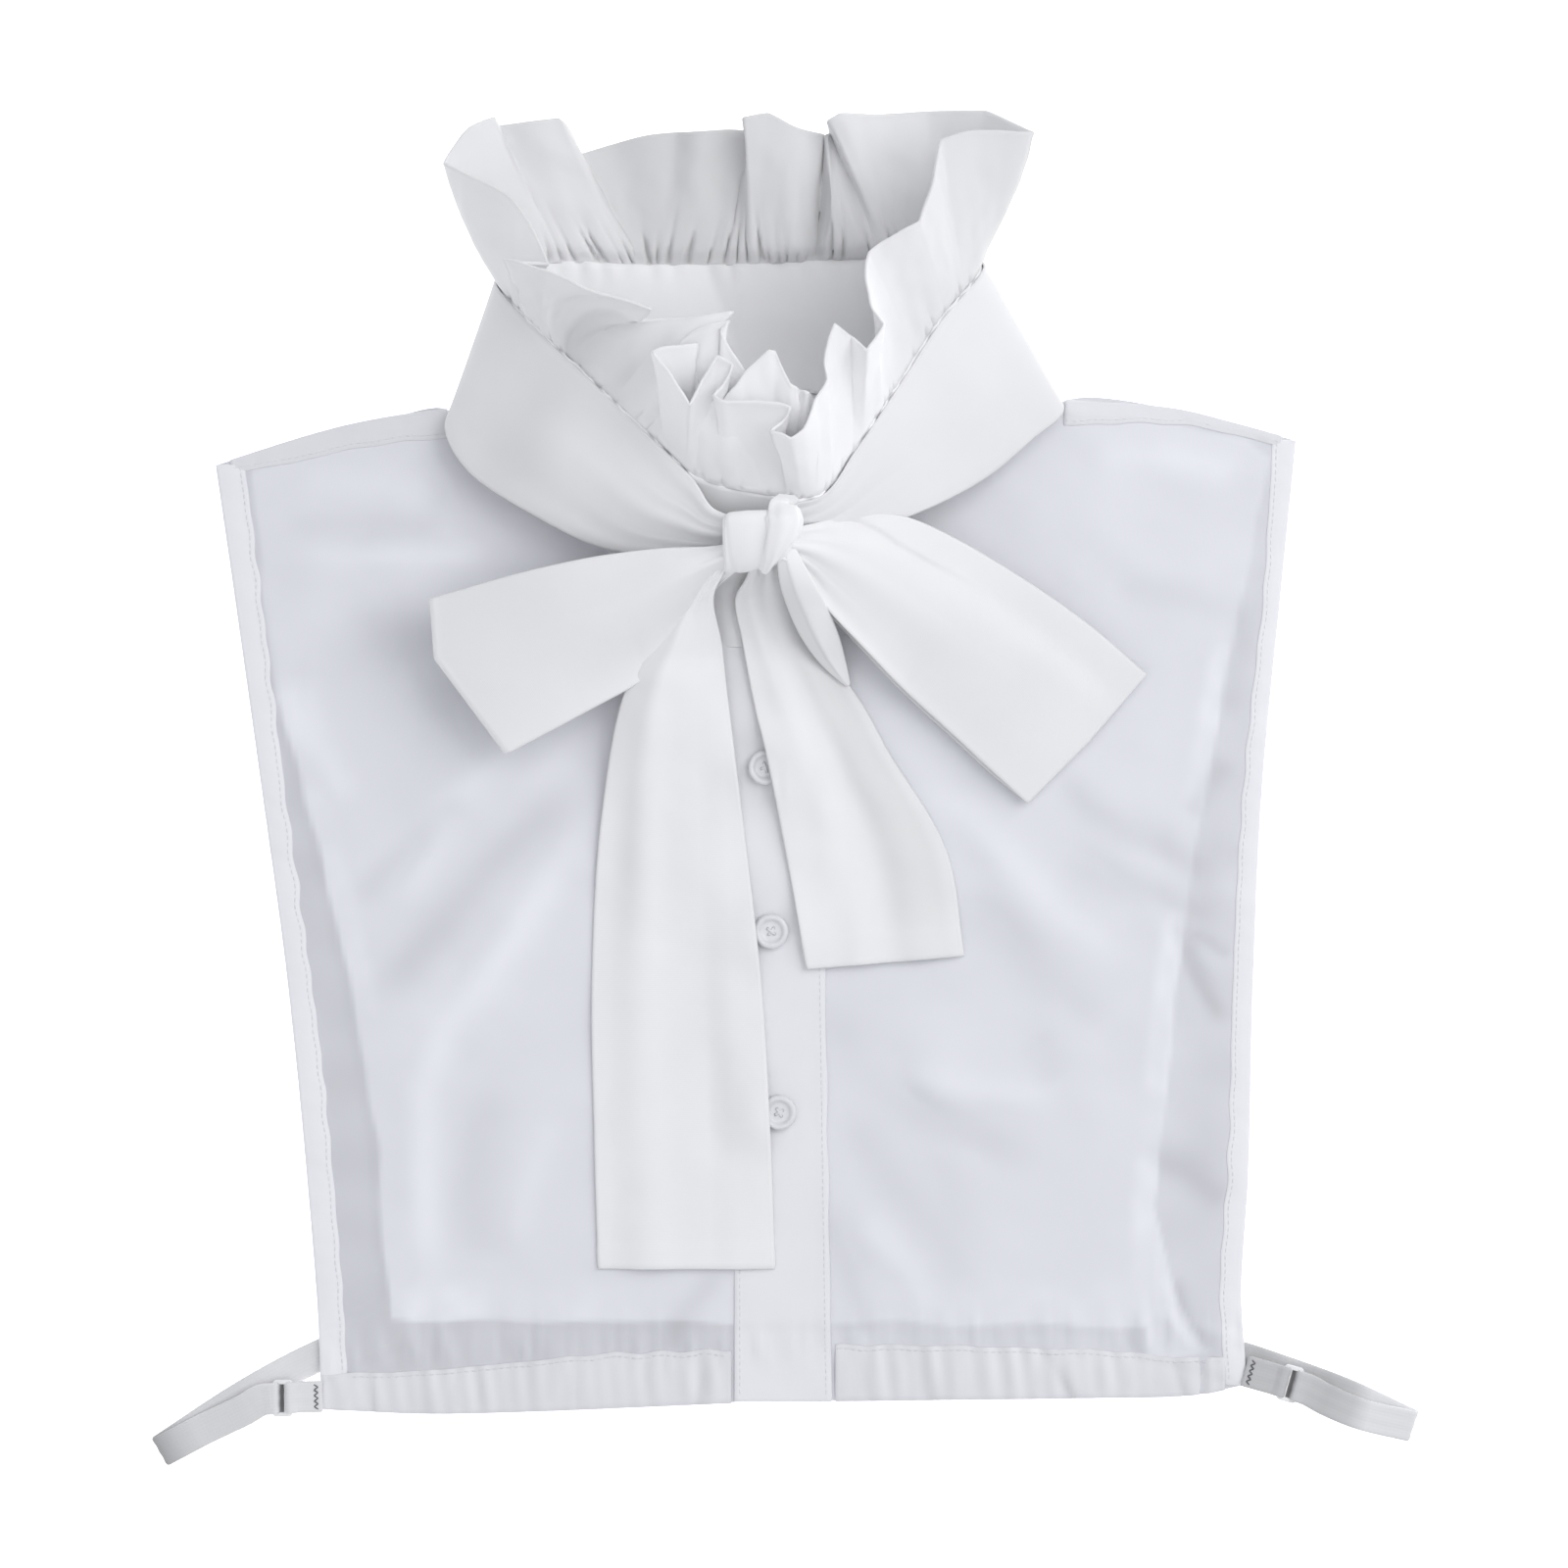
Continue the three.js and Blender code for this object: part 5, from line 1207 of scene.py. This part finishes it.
def build_ruffle():
    """The ruffle's outer layer, and the folds behind its front ones."""
    outer = build_folds("ruffle_cloth", RUFFLE_FOLDS, True, RUFFLE_BENDS, 0)
    middle = build_folds("ruffle_middle_folds", MIDDLE_FOLDS, False, INNER_BENDS, 0.6)
    inner = build_folds("ruffle_back_folds", BACK_FOLDS, False, INNER_BENDS, 1.2)
    dress(outer, RUFFLE, "tie_cloth", "ruffle")
    dress(middle, RUFFLE, "tie_cloth")
    dress(inner, RUFFLE, "tie_cloth")
    return outer, middle, inner


# Tie
def build_neck_band():
    upper = Curve(places(BAND, "ux uy uz"), closed=True)
    lower = Curve(places(BAND, "lx ly lz"), closed=True)
    u, v = grid(460, 46, ring=True)
    high = upper.point(u[0])
    # Its upper edge lies against the stand's seam where the two are close
    rim = TOP.at(np.linspace(0, 1, 900))
    gap = np.linalg.norm(high[:, None] - rim[None], axis=2)
    nearest, gap = rim[gap.argmin(axis=1)], gap.min(axis=1)
    closer = np.clip(gap - 1.3, 0, 3.2) * (1 - smooth(gap, 4.5, 7))
    high = high + (nearest - high) * smoothed(closer / np.maximum(gap, 1e-6), 6)[:, None]
    points = mix(lower.point(u[0])[None], high[None], v[..., None])
    # Creases fan out from the knot on both sides
    x, y = points[..., 0], points[..., 1]
    knot_x, knot_y = KNOT["x"][2], KNOT["y"][2]
    away = np.hypot(x - knot_x, y - knot_y)
    on_left = x < knot_x
    side = np.where(on_left, 0.0, 1.7)
    fan = v + 0.12 * np.sin(away / 17 + side) * np.exp(-away / 60)
    crease = np.abs(np.sin(np.pi * (2.2 * fan + 0.3 + side))) ** 0.8
    crease = crease + 0.35 * np.sin(2 * np.pi * (4.3 * fan + side))
    near = np.exp(-away / 30) * smooth(away, 4, 14)
    rise = 1.4 * near * crease + 0.4 * waves(x, y, 44, 81) + 0.4 * bump(v, 0.06, 0.07)
    points[..., 2] = np.maximum(points[..., 2] + rise - 0.3, BAND_FLOOR)
    # Painted light along a slanting ridge on the left, painted shade at two places above it, and painted
    # light on the left near the knot
    x, y = seen(points)
    across = ((x + 72) * 26 + (y - 112) * 48) / math.hypot(26, 48)
    lit = bump(across, 0, 11) * (1 - smooth(x, -30, -10)) * smooth(x, -96, -70)
    dim = spot(x, y, (-87, 106), (14, 14)) + 0.8 * spot(x, y, (-79, 123), (9, 12))
    tone = np.clip(0.4 + 0.5 * lit - 0.5 * dim + 0.3 * np.exp(-away / 40) * on_left, 0, 1)
    piece = cloth("tie_neck_band_cloth", points, RIBBON, (420, 52), ring=True, layer_and_shade_marks=tone)
    return dress(piece, BAND_CLOTH, "tie_cloth", "tie_neck_band")


def build_loop(name, over_table, under_table, seed, end_bulge, shape):
    """Loop of the bow: out on its under layer, round the closed end and back on its upper layer.

    end_bulge is where across the closed end it reaches farthest, and how far. shape is the relief of the
    upper layer.
    """
    u, v = grid(201, 60)
    side = u * 2 - 1
    reach = 1 - np.abs(side)
    t = np.minimum(1, reach / (1 - LOOP_TURN))
    turned = np.clip((reach - (1 - LOOP_TURN)) / LOOP_TURN, 0, 1) * np.pi / 2
    layers = []
    for table in (under_table, over_table):
        upper, lower = seen_curve(table, "ux uy z"), seen_curve(table, "lx ly z")
        layers.append(mix(upper.point(t[0])[None], lower.point(t[0])[None], v[..., None]))
    under, over = layers
    sign = np.where(side < 0, -1.0, 1.0)
    half = (over - under) / 2
    points = (under + over) / 2 + (sign * np.cos(turned))[..., None] * half
    # The closed end bulges the way that the upper layer's long edges go
    outward = (upper.point(1.0) - upper.point(0.97)) + (lower.point(1.0) - lower.point(0.97))
    outward = unit(outward * (1, 1, 0))
    farthest, bulge = end_bulge
    bulge = bulge * np.where(v < farthest, v / farthest, (1 - v) / (1 - farthest)) * smooth(t, 0.78, 1.0)
    points += outward * (bulge + np.minimum(half[..., 2], 3.0) * np.sin(turned))[..., None]
    near = np.exp(-t / 0.2) * smooth(t, 0.0, 0.06)
    fan = v + 0.03 * np.sin(t * 9)
    crease = np.abs(np.sin(np.pi * (2.3 * fan + 0.25))) ** 0.8
    crease = crease + 0.45 * np.sin(2 * np.pi * (4.1 * fan + 0.2 * seed))
    puff = 1.5 * np.sin(np.pi * v) * np.sin(np.pi * t) ** 0.8
    soft = 0.45 * waves(points[..., 0], points[..., 1], 38, seed) * smooth(t, 0.1, 0.5)
    lift = sign * (1.8 * near * crease + puff + soft) + np.where(side > 0, shape(t, v), 0)
    points[..., 2] += lift * np.cos(turned)
    # Painted shade: darker towards the closed end, lighter along the lower edge near the knot
    shade = 0.22 + 0.12 * t - 0.25 * smooth(v, 0.6, 1) * (1 - smooth(t, 0.4, 0.7))
    return dress(cloth(name + "_cloth", points, RIBBON, (220, 52), layer_and_shade_marks=shade), TIE, "tie_cloth", name)


def left_loop_shape(t, v):
    sink = np.interp(t, (0, 0.1, 0.2, 0.4, 0.6, 0.8, 1), (0, 8, 15, 19, 18, 10, 0)) * smooth(v, 0.35, 1)
    return 1.2 * bump(v, 0.3, 0.12) * bump(t, 0.35, 0.3) - sink


def right_loop_shape(t, v):
    lip = np.interp(t, (0.26, 0.34, 0.44, 0.52, 0.6), (0, 0.11, 0.2, 0.21, 0.2))
    fold = 0.9 * (1 - smooth(v, lip - 0.012, lip + 0.012)) * smooth(t, 0.26, 0.3) * (1 - smooth(t, 0.5, 0.66))
    ridge = 1.3 * bump(v, 0.44 - 0.12 * t, 0.17) * bump(t, 0.62, 0.28)
    valley = -1.2 * bump(v, 0.2, 0.09) * bump(t, 0.84, 0.16)
    lower = np.interp(t, (0, 0.14, 0.29, 0.57, 0.71, 0.86, 1), (0, 2, 5, 6, 4, 1.5, 0)) * smooth(v, 0.5, 1)
    upper = np.interp(t, (0, 0.14, 0.29, 0.43, 0.55), (0, 3, 4.4, 1.5, 0)) * (1 - smooth(v, 0, 0.35))
    return fold + ridge + valley - lower - upper


def over_buttons(x, y):
    """Rise of a tail over the button band and the buttons under it."""
    left, right = placket_left(y), placket_right(y)
    rise = band = 0.9 * smooth(x, left - 8, left + 1) * (1 - smooth(x, right - 1, right + 8))
    for cx, cy in each(BUTTONS):
        away = np.maximum(np.hypot(x - cx, y - cy) - BUTTON_RADIUS, 0)
        rise = np.maximum(rise, band + 3.2 * bump(away, 0, 9))
    return rise


# Painted shade of the left tail: along its left side, at a spot and along a slanting band, and a little more
# on its lower part
def left_tail_shade(u, v):
    side = (1 - smooth(u, 0.2, 0.36)) * smooth(v, 0.15, 0.3) * (1 - smooth(v, 0.48, 0.64))
    shaded_spot = bump(u, 0.24, 0.09) * bump(v, 0.66, 0.06)
    slant = bump(u - 0.7 * (v - 0.75), 0.72, 0.1) * bump(v, 0.82, 0.1)
    return 0.1 * smooth(v, 0.3, 0.5) + 0.7 * side + 0.5 * shaded_spot + 0.4 * slant


# Painted shade of the right tail along its right part, less near its cut end
def right_tail_shade(u, v):
    side = smooth(u, 0.5, 0.66) * (1 - 0.6 * smooth(u, 0.88, 0.98)) * smooth(v, 0.25, 0.45)
    return 0.1 + 0.6 * side * (1 - 0.5 * bump(v, 0.98, 0.04))


# Painted shade of the ribbon between the tails, on its half next to the knot
def back_tail_shade(u, v):
    return 0.3 * (1 - smooth(v, 0.5, 0.7))


def left_tail_tilt(u, v):
    """Share of the left tail's lift that each place keeps, and how far its left edge dips."""
    down = 0.8 * smooth(v, 0.22, 0.42) * u ** 1.5
    dip = 1.1 * (1 - smooth(u, 0, 0.05)) * (1 - smooth(v, 0.46, 0.52))
    return 1 - down, dip


def build_tail(name, table, seed, folds, hem, shade, lines=210, nodes=(), tilt=None, creased=(0, 0.25)):
    """Tail lying on the front, gathered at the knot.

    folds are (place across, width, height), and begin between the two places of creased.
    """
    left, right = Curve(places(table, "lx ly")), Curve(places(table, "rx ry"))
    u, v = grid(66, lines)
    points = mix(left.point(v[:, 0])[:, None], right.point(v[:, 0])[:, None], u[..., None])
    lift = smoothed(read(table, "lift", v[:, 0]), 9)[:, None]
    if tilt:
        share, dip = tilt(u, v)
        lift = lift * share - dip
    # Where the camera sees it follows from its height, and its height from what lies there
    points[..., 2] = front_top(points[..., 0], points[..., 1]) + lift
    points = unseen(points)
    x, y = points[..., 0], points[..., 1]
    near = np.exp(-v / 0.13)
    gathers = 1.5 * np.sin(2 * np.pi * (2.4 * u + 0.1 * seed)) + 0.7 * np.sin(2 * np.pi * (5.1 * u + 0.3))
    crease = sum(tall * bump(u, at + 0.03 * np.sin(v * 5 + seed), wide) for at, wide, tall in folds)
    body = crease * smooth(v, *creased) + 0.7 * np.sin(np.pi * u) * smooth(v, 0, 0.25) + near * gathers
    soft = np.maximum(0.5 * waves(x, y * 0.6, 30, seed), -0.3)
    points[..., 2] = front_top(x, y) + RIBBON / 2 + 0.35 + lift + over_buttons(x, y) + body + soft
    to_end = (1 - v) * np.linalg.norm(left.points[0] - left.points[-1])
    wall = RIBBON + 0.35 * (1 - smooth(to_end, hem - 0.3, hem + 0.3))
    piece = cloth(name + "_cloth", points, wall, (56, 225), layer_and_shade_marks=shade(u, v))
    return dress(piece, TIE, "tie_cloth", *nodes)


def build_flap():
    """The right tail's folded-over part beside the knot."""
    left, right = seen_curve(FLAP, "lx ly z"), seen_curve(FLAP, "rx ry z")
    u, v = grid(20, 50)
    points = mix(left.point(v[:, 0])[:, None], right.point(v[:, 0])[:, None], u[..., None])
    upper_layer = smooth(u, 0.34, 0.42)
    puff = np.sin(np.pi * np.clip(v * 1.02, 0, 1)) ** 0.6
    points[..., 2] += (0.8 * np.sin(np.pi * u) + 1.1 * upper_layer) * puff
    # Painted shade on its lower layer, left of the fold
    piece = cloth("bow_tail_right_flap", points, RIBBON * 0.8, (12, 48), layer_and_shade_marks=0.75 * (1 - upper_layer))
    return dress(piece, TIE, "tie_cloth")


def build_tube(name, table, middles, up, out, pleat):
    """Closed body of oval sections about a line of the tie; up and out span each section."""
    rings, sides = len(middles), 80
    t = np.linspace(0, 1, rings)
    tall, deep = (smoothed(read(table, key, t), 4)[:, None] for key in ("tall", "deep"))
    angle = np.arange(sides) / sides * 2 * np.pi
    a, r = np.meshgrid(angle, np.arange(rings))
    grow = 1 + pleat(a, r / (rings - 1))
    points = (
        middles[:, None]
        + (tall * np.cos(angle) * grow)[..., None] * up[:, None]
        + (deep * np.sin(angle) * grow)[..., None] * out[:, None]
    )
    ends = [points[0].mean(axis=0), points[-1].mean(axis=0)]
    faces = grid_faces(rings, sides, ring=True).tolist()
    first, last = np.arange(sides), np.arange(sides) + (rings - 1) * sides
    faces += [[rings * sides, int(b), int(a)] for a, b in zip(first, np.roll(first, -1))]
    faces += [[rings * sides + 1, int(a), int(b)] for a, b in zip(last, np.roll(last, -1))]
    uvs = np.dstack([a / (2 * np.pi) * 40, r / (rings - 1) * 24]).reshape(-1, 2)
    uvs = np.concatenate([uvs, np.zeros((2, 2))])
    return new_object(name, np.concatenate([points.reshape(-1, 3), ends]), faces, uvs)


def knot_wraps(angle, along):
    first = bump(along, 0.1 + 0.045 * np.cos(angle), 0.022)
    second = bump(along, 0.24 - 0.05 * np.cos(angle), 0.03)
    third = bump(along, 0.6 + 0.08 * np.cos(angle), 0.05)
    return 0.03 * np.sin(2 * np.pi * 1.2 * along) - 0.085 * first - 0.06 * second - 0.04 * third


def strand_twist(angle, along):
    return 0.09 * np.sin(3 * angle + 9 * along) + 0.04 * np.sin(7 * angle - 6 * along)


def build_knot():
    """The knot's body, and the twisted strand beside it."""
    t = np.linspace(0, 1, 90)
    up = np.array([[0, math.cos(KNOT_SLOPE), math.sin(KNOT_SLOPE)]]).repeat(len(t), axis=0)
    out = np.array([[0, -math.sin(KNOT_SLOPE), math.cos(KNOT_SLOPE)]]).repeat(len(t), axis=0)
    body = build_tube("bow_knot_cloth", KNOT, Curve(places(KNOT, "x y z")).point(t), up, out, knot_wraps)
    dress(body, TIE, "tie_cloth", "bow_knot")
    middles = seen_curve(STRAND).point(t)
    along = unit(np.gradient(middles, axis=0))
    across = unit(np.cross(along, out))
    strand = build_tube("bow_knot_strand", STRAND, middles, across, np.cross(across, along), strand_twist)
    dress(strand, TIE, "tie_cloth")
    return body, strand


# Buttons and stitches
def metres(x, y, z):
    """A place of the plan as Blender has it."""
    return Vector((np.array([x, y, z]) + SHIFT) * MM)


def shade_by_angle(mesh, degrees):
    """Smooth shading with sharp edges where faces meet at more than an angle."""
    for polygon in mesh.polygons:
        polygon.use_smooth = True
    mesh.set_sharp_from_angle(angle=math.radians(degrees))


def cleaned(turn):
    """Merges the double vertices of a mesh under construction and turns its faces outwards."""
    bmesh.ops.remove_doubles(turn, verts=turn.verts, dist=1e-6)
    bmesh.ops.recalc_face_normals(turn, faces=turn.faces)


def build_button(index):
    """A button, turned from its profile and drilled; returns it with the ends of its crossed threads."""
    x, y = BUTTONS["x"][index], BUTTONS["y"][index]
    seat = float(placket_top(x, y)) + BUTTON_GAP
    turn = bmesh.new()
    profile = [turn.verts.new(metres(x + r, y, seat + z)) for r, z in BUTTON_PROFILE]
    edges = [turn.edges.new(pair) for pair in zip(profile, profile[1:])]
    bmesh.ops.spin(
        turn, geom=profile + edges, cent=metres(x, y, 0), axis=(0, 0, 1), angle=math.tau, steps=BUTTON_SIDES,
    )
    cleaned(turn)
    mesh = bpy.data.meshes.new(f"button_disc_{index + 1}")
    turn.to_mesh(mesh)
    turn.free()
    button = linked(mesh.name, mesh)
    middle = np.array([x, y])
    angles = math.radians(BUTTON_TURNS[index]) + np.arange(4) * math.pi / 2
    directions = np.column_stack([np.cos(angles), np.sin(angles)])
    for direction in directions:
        bpy.ops.mesh.primitive_cylinder_add(
            vertices=HOLES["sides"], radius=HOLES["radius"] * MM, depth=HOLES["depth"] * MM,
            location=metres(*(middle + HOLES["from_middle"] * direction), seat + HOLES["level"]),
        )
        cut = button.modifiers.new("hole", "BOOLEAN")
        cut.operation = "DIFFERENCE"
        cut.solver = "EXACT"
        cut.object = bpy.context.object
    bpy.context.view_layer.update()
    drilled = bpy.data.meshes.new_from_object(button.evaluated_get(bpy.context.evaluated_depsgraph_get()))
    for cut in button.modifiers:
        bpy.data.objects.remove(cut.object)
    button.modifiers.clear()
    button.data = drilled
    shade_by_angle(drilled, BUTTON_SHARP)
    dress(button, PEARL, "pearl_button", f"button_{index + 1}")
    ends = THREAD_REACH * np.array([-1, 1])
    threads = [
        [(*(middle + end * directions[k]), seat + THREAD_LEVEL + THREAD_RISE * k) for end in ends]
        for k in range(2)
    ]
    return button, threads


def capsules(name, pieces, radius, material, slot):
    """Many short rounded rods as one object; pieces are pairs of end points."""
    sides = 6
    pieces = np.asarray(pieces)
    along = unit(pieces[:, 1] - pieces[:, 0])
    across = unit(np.cross(along, (0, 0, 1)))
    over = np.cross(across, along)
    angle = (np.arange(sides) / sides * 2 * np.pi)[None, :, None]
    ring = across[:, None] * np.cos(angle) + over[:, None] * np.sin(angle)
    rings = []
    for place, inset, grow in ((0, 0.0, 0.35), (0, 0.8, 0.9), (0.5, 0, 1.15), (1, -0.8, 0.9), (1, 0.0, 0.35)):
        middle = mix(pieces[:, 0], pieces[:, 1], place) + along * inset * radius
        rings.append(middle[:, None] + ring * radius * grow)
    points = np.stack(rings, axis=1).reshape(-1, 3)
    count = len(rings) * sides
    starts = range(0, len(points), count)
    quads = [grid_faces(len(rings), sides, ring=True, first=first)[:, ::-1] for first in starts]
    faces = np.concatenate(quads).tolist()
    for first in starts:
        faces.append(list(range(first, first + sides)))
        faces.append(list(range(first + count - 1, first + count - sides - 1, -1)))
    return dress(new_object(name, points, faces), material, slot)


def stitch_pairs(line_points):
    """Ends of the stitches along a line of points."""
    steps = np.linalg.norm(np.diff(line_points, axis=0), axis=1)
    place = np.concatenate([[0], np.cumsum(steps)])
    starts = np.arange(0.5, place[-1] - STITCH_LENGTH, STITCH_PITCH)
    ends = [
        np.stack([np.interp(run, place, line_points[:, i]) for i in range(3)], axis=-1)
        for run in (starts, starts + STITCH_LENGTH)
    ]
    return np.stack(ends, axis=1)


# Elastics
def strip(name, middles, across, flat, shade):
    """Woven elastic about a line, with three low ribs; shade is painted shade that darkens it along its run.
    """
    v = np.linspace(-0.5, 0.5, 15)[:, None]
    points = middles[None] + across[None] * (v * ELASTIC_WIDTH)[..., None]
    wall = ELASTIC_WALL * (1 + 0.18 * np.cos(v * 2 * np.pi * 2.5))
    return dress(cloth(name, points, wall, flat, layer_and_shade_marks=shade), ELASTIC, "elastic")


def level(along):
    """Level directions across a line."""
    return unit(np.stack([-along[:, 1], along[:, 0], 0 * along[:, 0]], axis=-1))


def build_tab(side, plan):
    """The short strip sewn to the hem's corner, and its zigzag of stitches."""
    a, b = (np.array([*p, ELASTIC_TOP]) for p in plan["tab"])
    length = np.linalg.norm(b - a)
    along = (b - a)[None] / length
    over = level(along)
    # Closer together towards the slider, over which it bends
    left = (1 - np.linspace(0, 1, 30)) ** 1.6
    middles = mix(b, a, left[:, None])
    middles[:, 2] = np.interp(left * length, *TAB_OVER_SLIDER)
    across = over.repeat(30, axis=0)
    tab = strip(f"elastic_tab_{side}_web", middles, across, (14, ELASTIC_WIDTH), plan["tab_shade"])
    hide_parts(f"elastic_tab_{side}")
    corners = [
        a + along[0] * (1.0 if k % 2 else 2.4) + over[0] * (k / 9 - 0.5) * (ELASTIC_WIDTH - 1.4)
        + (0, 0, ELASTIC_WALL / 2 + 0.1)
        for k in range(10)
    ]
    pairs = list(zip(corners, corners[1:]))
    return tab, capsules(f"tab_stitches_{side}", pairs, TAB_STITCH_RADIUS, THREAD, "elastic")


def build_strand(side, plan):
    """The long strip, out from the slider, round the tip and back below itself to under the front."""
    t = np.linspace(0, 1, 120)
    out, back = (Curve([(*p, 0) for p in plan[key]]).point(t) for key in ("out", "back"))
    out_along, back_along = np.gradient(out, axis=0), np.gradient(back, axis=0)
    run = np.concatenate([[0], np.cumsum(np.linalg.norm(np.diff(out, axis=0), axis=1))])
    out[:, 2] = np.interp(run, *OVER_SLIDER)
    back[:, 2] = ELASTIC_LOWER
    turn = np.linspace(0, 1, 16)[1:-1, None]
    radius = (ELASTIC_UPPER - ELASTIC_LOWER) / 2
    tip = mix(out[-1], back[0], turn)
    tip[:, 2] = ELASTIC_LOWER + radius + radius * np.cos(turn[:, 0] * np.pi)
    tip += unit(out_along[-1]) * radius * np.sin(turn * np.pi)
    tip_across = unit(mix(level(out_along[-1:]), -level(back_along[:1]), turn))
    middles = np.concatenate([out, tip, back])
    across = np.concatenate([level(out_along), tip_across, -level(back_along)])
    # Painted shade by the distance from the slider, and a painted shadow, nearly black, where the strip runs
    # under the slider's slot
    shade = np.interp(np.abs(middles[:, 0] - plan["slider"][0]) - 1.8, *plan["shade"])
    in_slider = 1 - smooth(run, 3.3, 4.3)
    shade[:len(run)] = np.maximum(shade[:len(run)], 2.4 * in_slider)
    strand = strip(f"elastic_{side}_web", middles, across, (135, ELASTIC_WIDTH), shade)
    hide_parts(f"elastic_{side}")
    return strand


def rounded(x, wide, tall, radius, turn):
    """Points round a rectangle with round corners, whose middle is at x before it is turned about 0."""
    steps = 6
    points = []
    for sx, sy, start in ((1, 1, 0), (-1, 1, 90), (-1, -1, 180), (1, -1, 270)):
        for k in range(steps + 1):
            angle = math.radians(start + 90 * k / steps)
            px = x + sx * (wide / 2 - radius) + radius * math.cos(angle)
            py = sy * (tall / 2 - radius) + radius * math.sin(angle)
            points.append((px, py))
    c, s = math.cos(turn), math.sin(turn)
    return [(px * c - py * s, px * s + py * c) for px, py in points]


def build_slider(side, plan):
    """Flat ring with one bar wider than the other."""
    x, y, turn = plan["slider"]
    turn = math.radians(turn)
    data = bpy.data.curves.new(f"slider_{side}_plate", "CURVE")
    data.dimensions = "2D"
    data.fill_mode = "BOTH"
    data.extrude = SLIDER["half_thickness"] * MM
    data.bevel_depth = SLIDER["rounding"] * MM
    data.bevel_resolution = 3
    slot_x = SLIDER["slot_off_middle"] * (-1 if side == "left" else 1)
    for outline in (rounded(0, *SLIDER["plate"], turn), rounded(slot_x, *SLIDER["slot"], turn)):
        spline = data.splines.new("POLY")
        spline.points.add(len(outline) - 1)
        for point, (px, py) in zip(spline.points, outline):
            point.co = (px * MM, py * MM, 0, 1)
        spline.use_cyclic_u = True
    curve = linked("slider_outline", data)
    curve.location = metres(x, y, ELASTIC_TOP)
    bpy.context.view_layer.update()
    mesh = bpy.data.meshes.new_from_object(curve.evaluated_get(bpy.context.evaluated_depsgraph_get()))
    mesh.transform(curve.matrix_world)
    bpy.data.objects.remove(curve)
    merged = bmesh.new()
    merged.from_mesh(mesh)
    cleaned(merged)
    merged.to_mesh(mesh)
    merged.free()
    shade_by_angle(mesh, SLIDER_SHARP)
    mesh.name = f"slider_{side}_plate"
    return dress(linked(mesh.name, mesh), PLASTIC, "slider_plastic", f"slider_{side}")


back, back_hems = build_back()
front_left, front_right = build_front()
trims, seams = {}, []
for name, table, inward, start, stop in TRIMS:
    trims[name], seam = build_trim(name, table, inward, start, stop)
    seams.append(seam)
placket, placket_seams = build_placket()
stand = build_stand()
ruffle = build_ruffle()
band = build_neck_band()
loop_left = build_loop("bow_loop_left", LEFT_OVER, LEFT_UNDER, 3, LEFT_BULGE, left_loop_shape)
loop_right = build_loop("bow_loop_right", RIGHT_OVER, RIGHT_UNDER, 5, RIGHT_BULGE, right_loop_shape)
tail_left = build_tail(
    "bow_tail_left", TAIL_LEFT, 7, TAIL_LEFT_FOLDS, TAIL_HEM, left_tail_shade,
    nodes=["bow_tail_left"], tilt=left_tail_tilt, creased=TAIL_LEFT_CREASED,
)
tail_back = build_tail("bow_tail_back", TAIL_BACK, 8, [], 0.0, back_tail_shade, lines=40)
flap = build_flap()
tail_right = build_tail(
    "bow_tail_right", TAIL_RIGHT, 9, TAIL_RIGHT_FOLDS, TAIL_HEM, right_tail_shade, nodes=["bow_tail_right"],
)
knot, strand = build_knot()
buttons, threads = [], []
for i in range(len(BUTTONS["x"])):
    made, ends = build_button(i)
    buttons.append(made)
    threads += ends
button_threads = capsules("button_threads", threads, BUTTON_THREAD_RADIUS, TRIM, "trim_cloth")
pairs = np.concatenate([stitch_pairs(seam) for seam in seams + placket_seams])
stitches = capsules("seam_stitches", pairs, STITCH_RADIUS, TRIM, "trim_cloth")
elastics = {side: (*build_tab(side, plan), build_strand(side, plan)) for side, plan in ELASTICS.items()}
sliders = {side: build_slider(side, plan) for side, plan in ELASTICS.items()}

# Stage: white paper that glows, so that it shows no shadows, soft light from all round, and the lamps
bpy.ops.mesh.primitive_plane_add(size=TABLE_SIZE, location=(0, 0, -TABLE_DROP))
table_top = bpy.context.object
table_top.name = "table"
paper = bpy.data.materials.new("paper")
paper.use_nodes = True
set_inputs(paper, paper.node_tree.nodes["Principled BSDF"], {
    "Base Color": (0.9, 0.9, 0.9, 1), "Emission Color": (1, 1, 1, 1), "Emission Strength": 1.0,
})
table_top.data.materials.append(paper)

world = bpy.data.worlds.new("world")
world.use_nodes = True
set_inputs(world, world.node_tree.nodes["Background"], {"Color": (*SKY_COLOUR, 1), "Strength": SKY_STRENGTH})
bpy.context.scene.world = world

for name, place, size, power in LAMPS:
    lamp = bpy.data.lights.new(name, "AREA")
    lamp.size = size
    lamp.energy = power
    light = linked(name, lamp)
    light.location = place
    light.rotation_mode = "QUATERNION"
    light.rotation_quaternion = (-Vector(place)).to_track_quat("-Z", "Y")

camera_data = bpy.data.cameras.new("camera")
camera_data.sensor_width = SENSOR
camera_data.lens = SENSOR * VIEW_HEIGHT / (PHOTO_PIXELS * PIXEL)
camera = linked("camera", camera_data)
camera.location = metres(0, 0, VIEW_HEIGHT)
bpy.context.scene.camera = camera
bpy.context.scene.view_settings.view_transform = "Standard"
bpy.context.scene.view_settings.exposure = 0.0
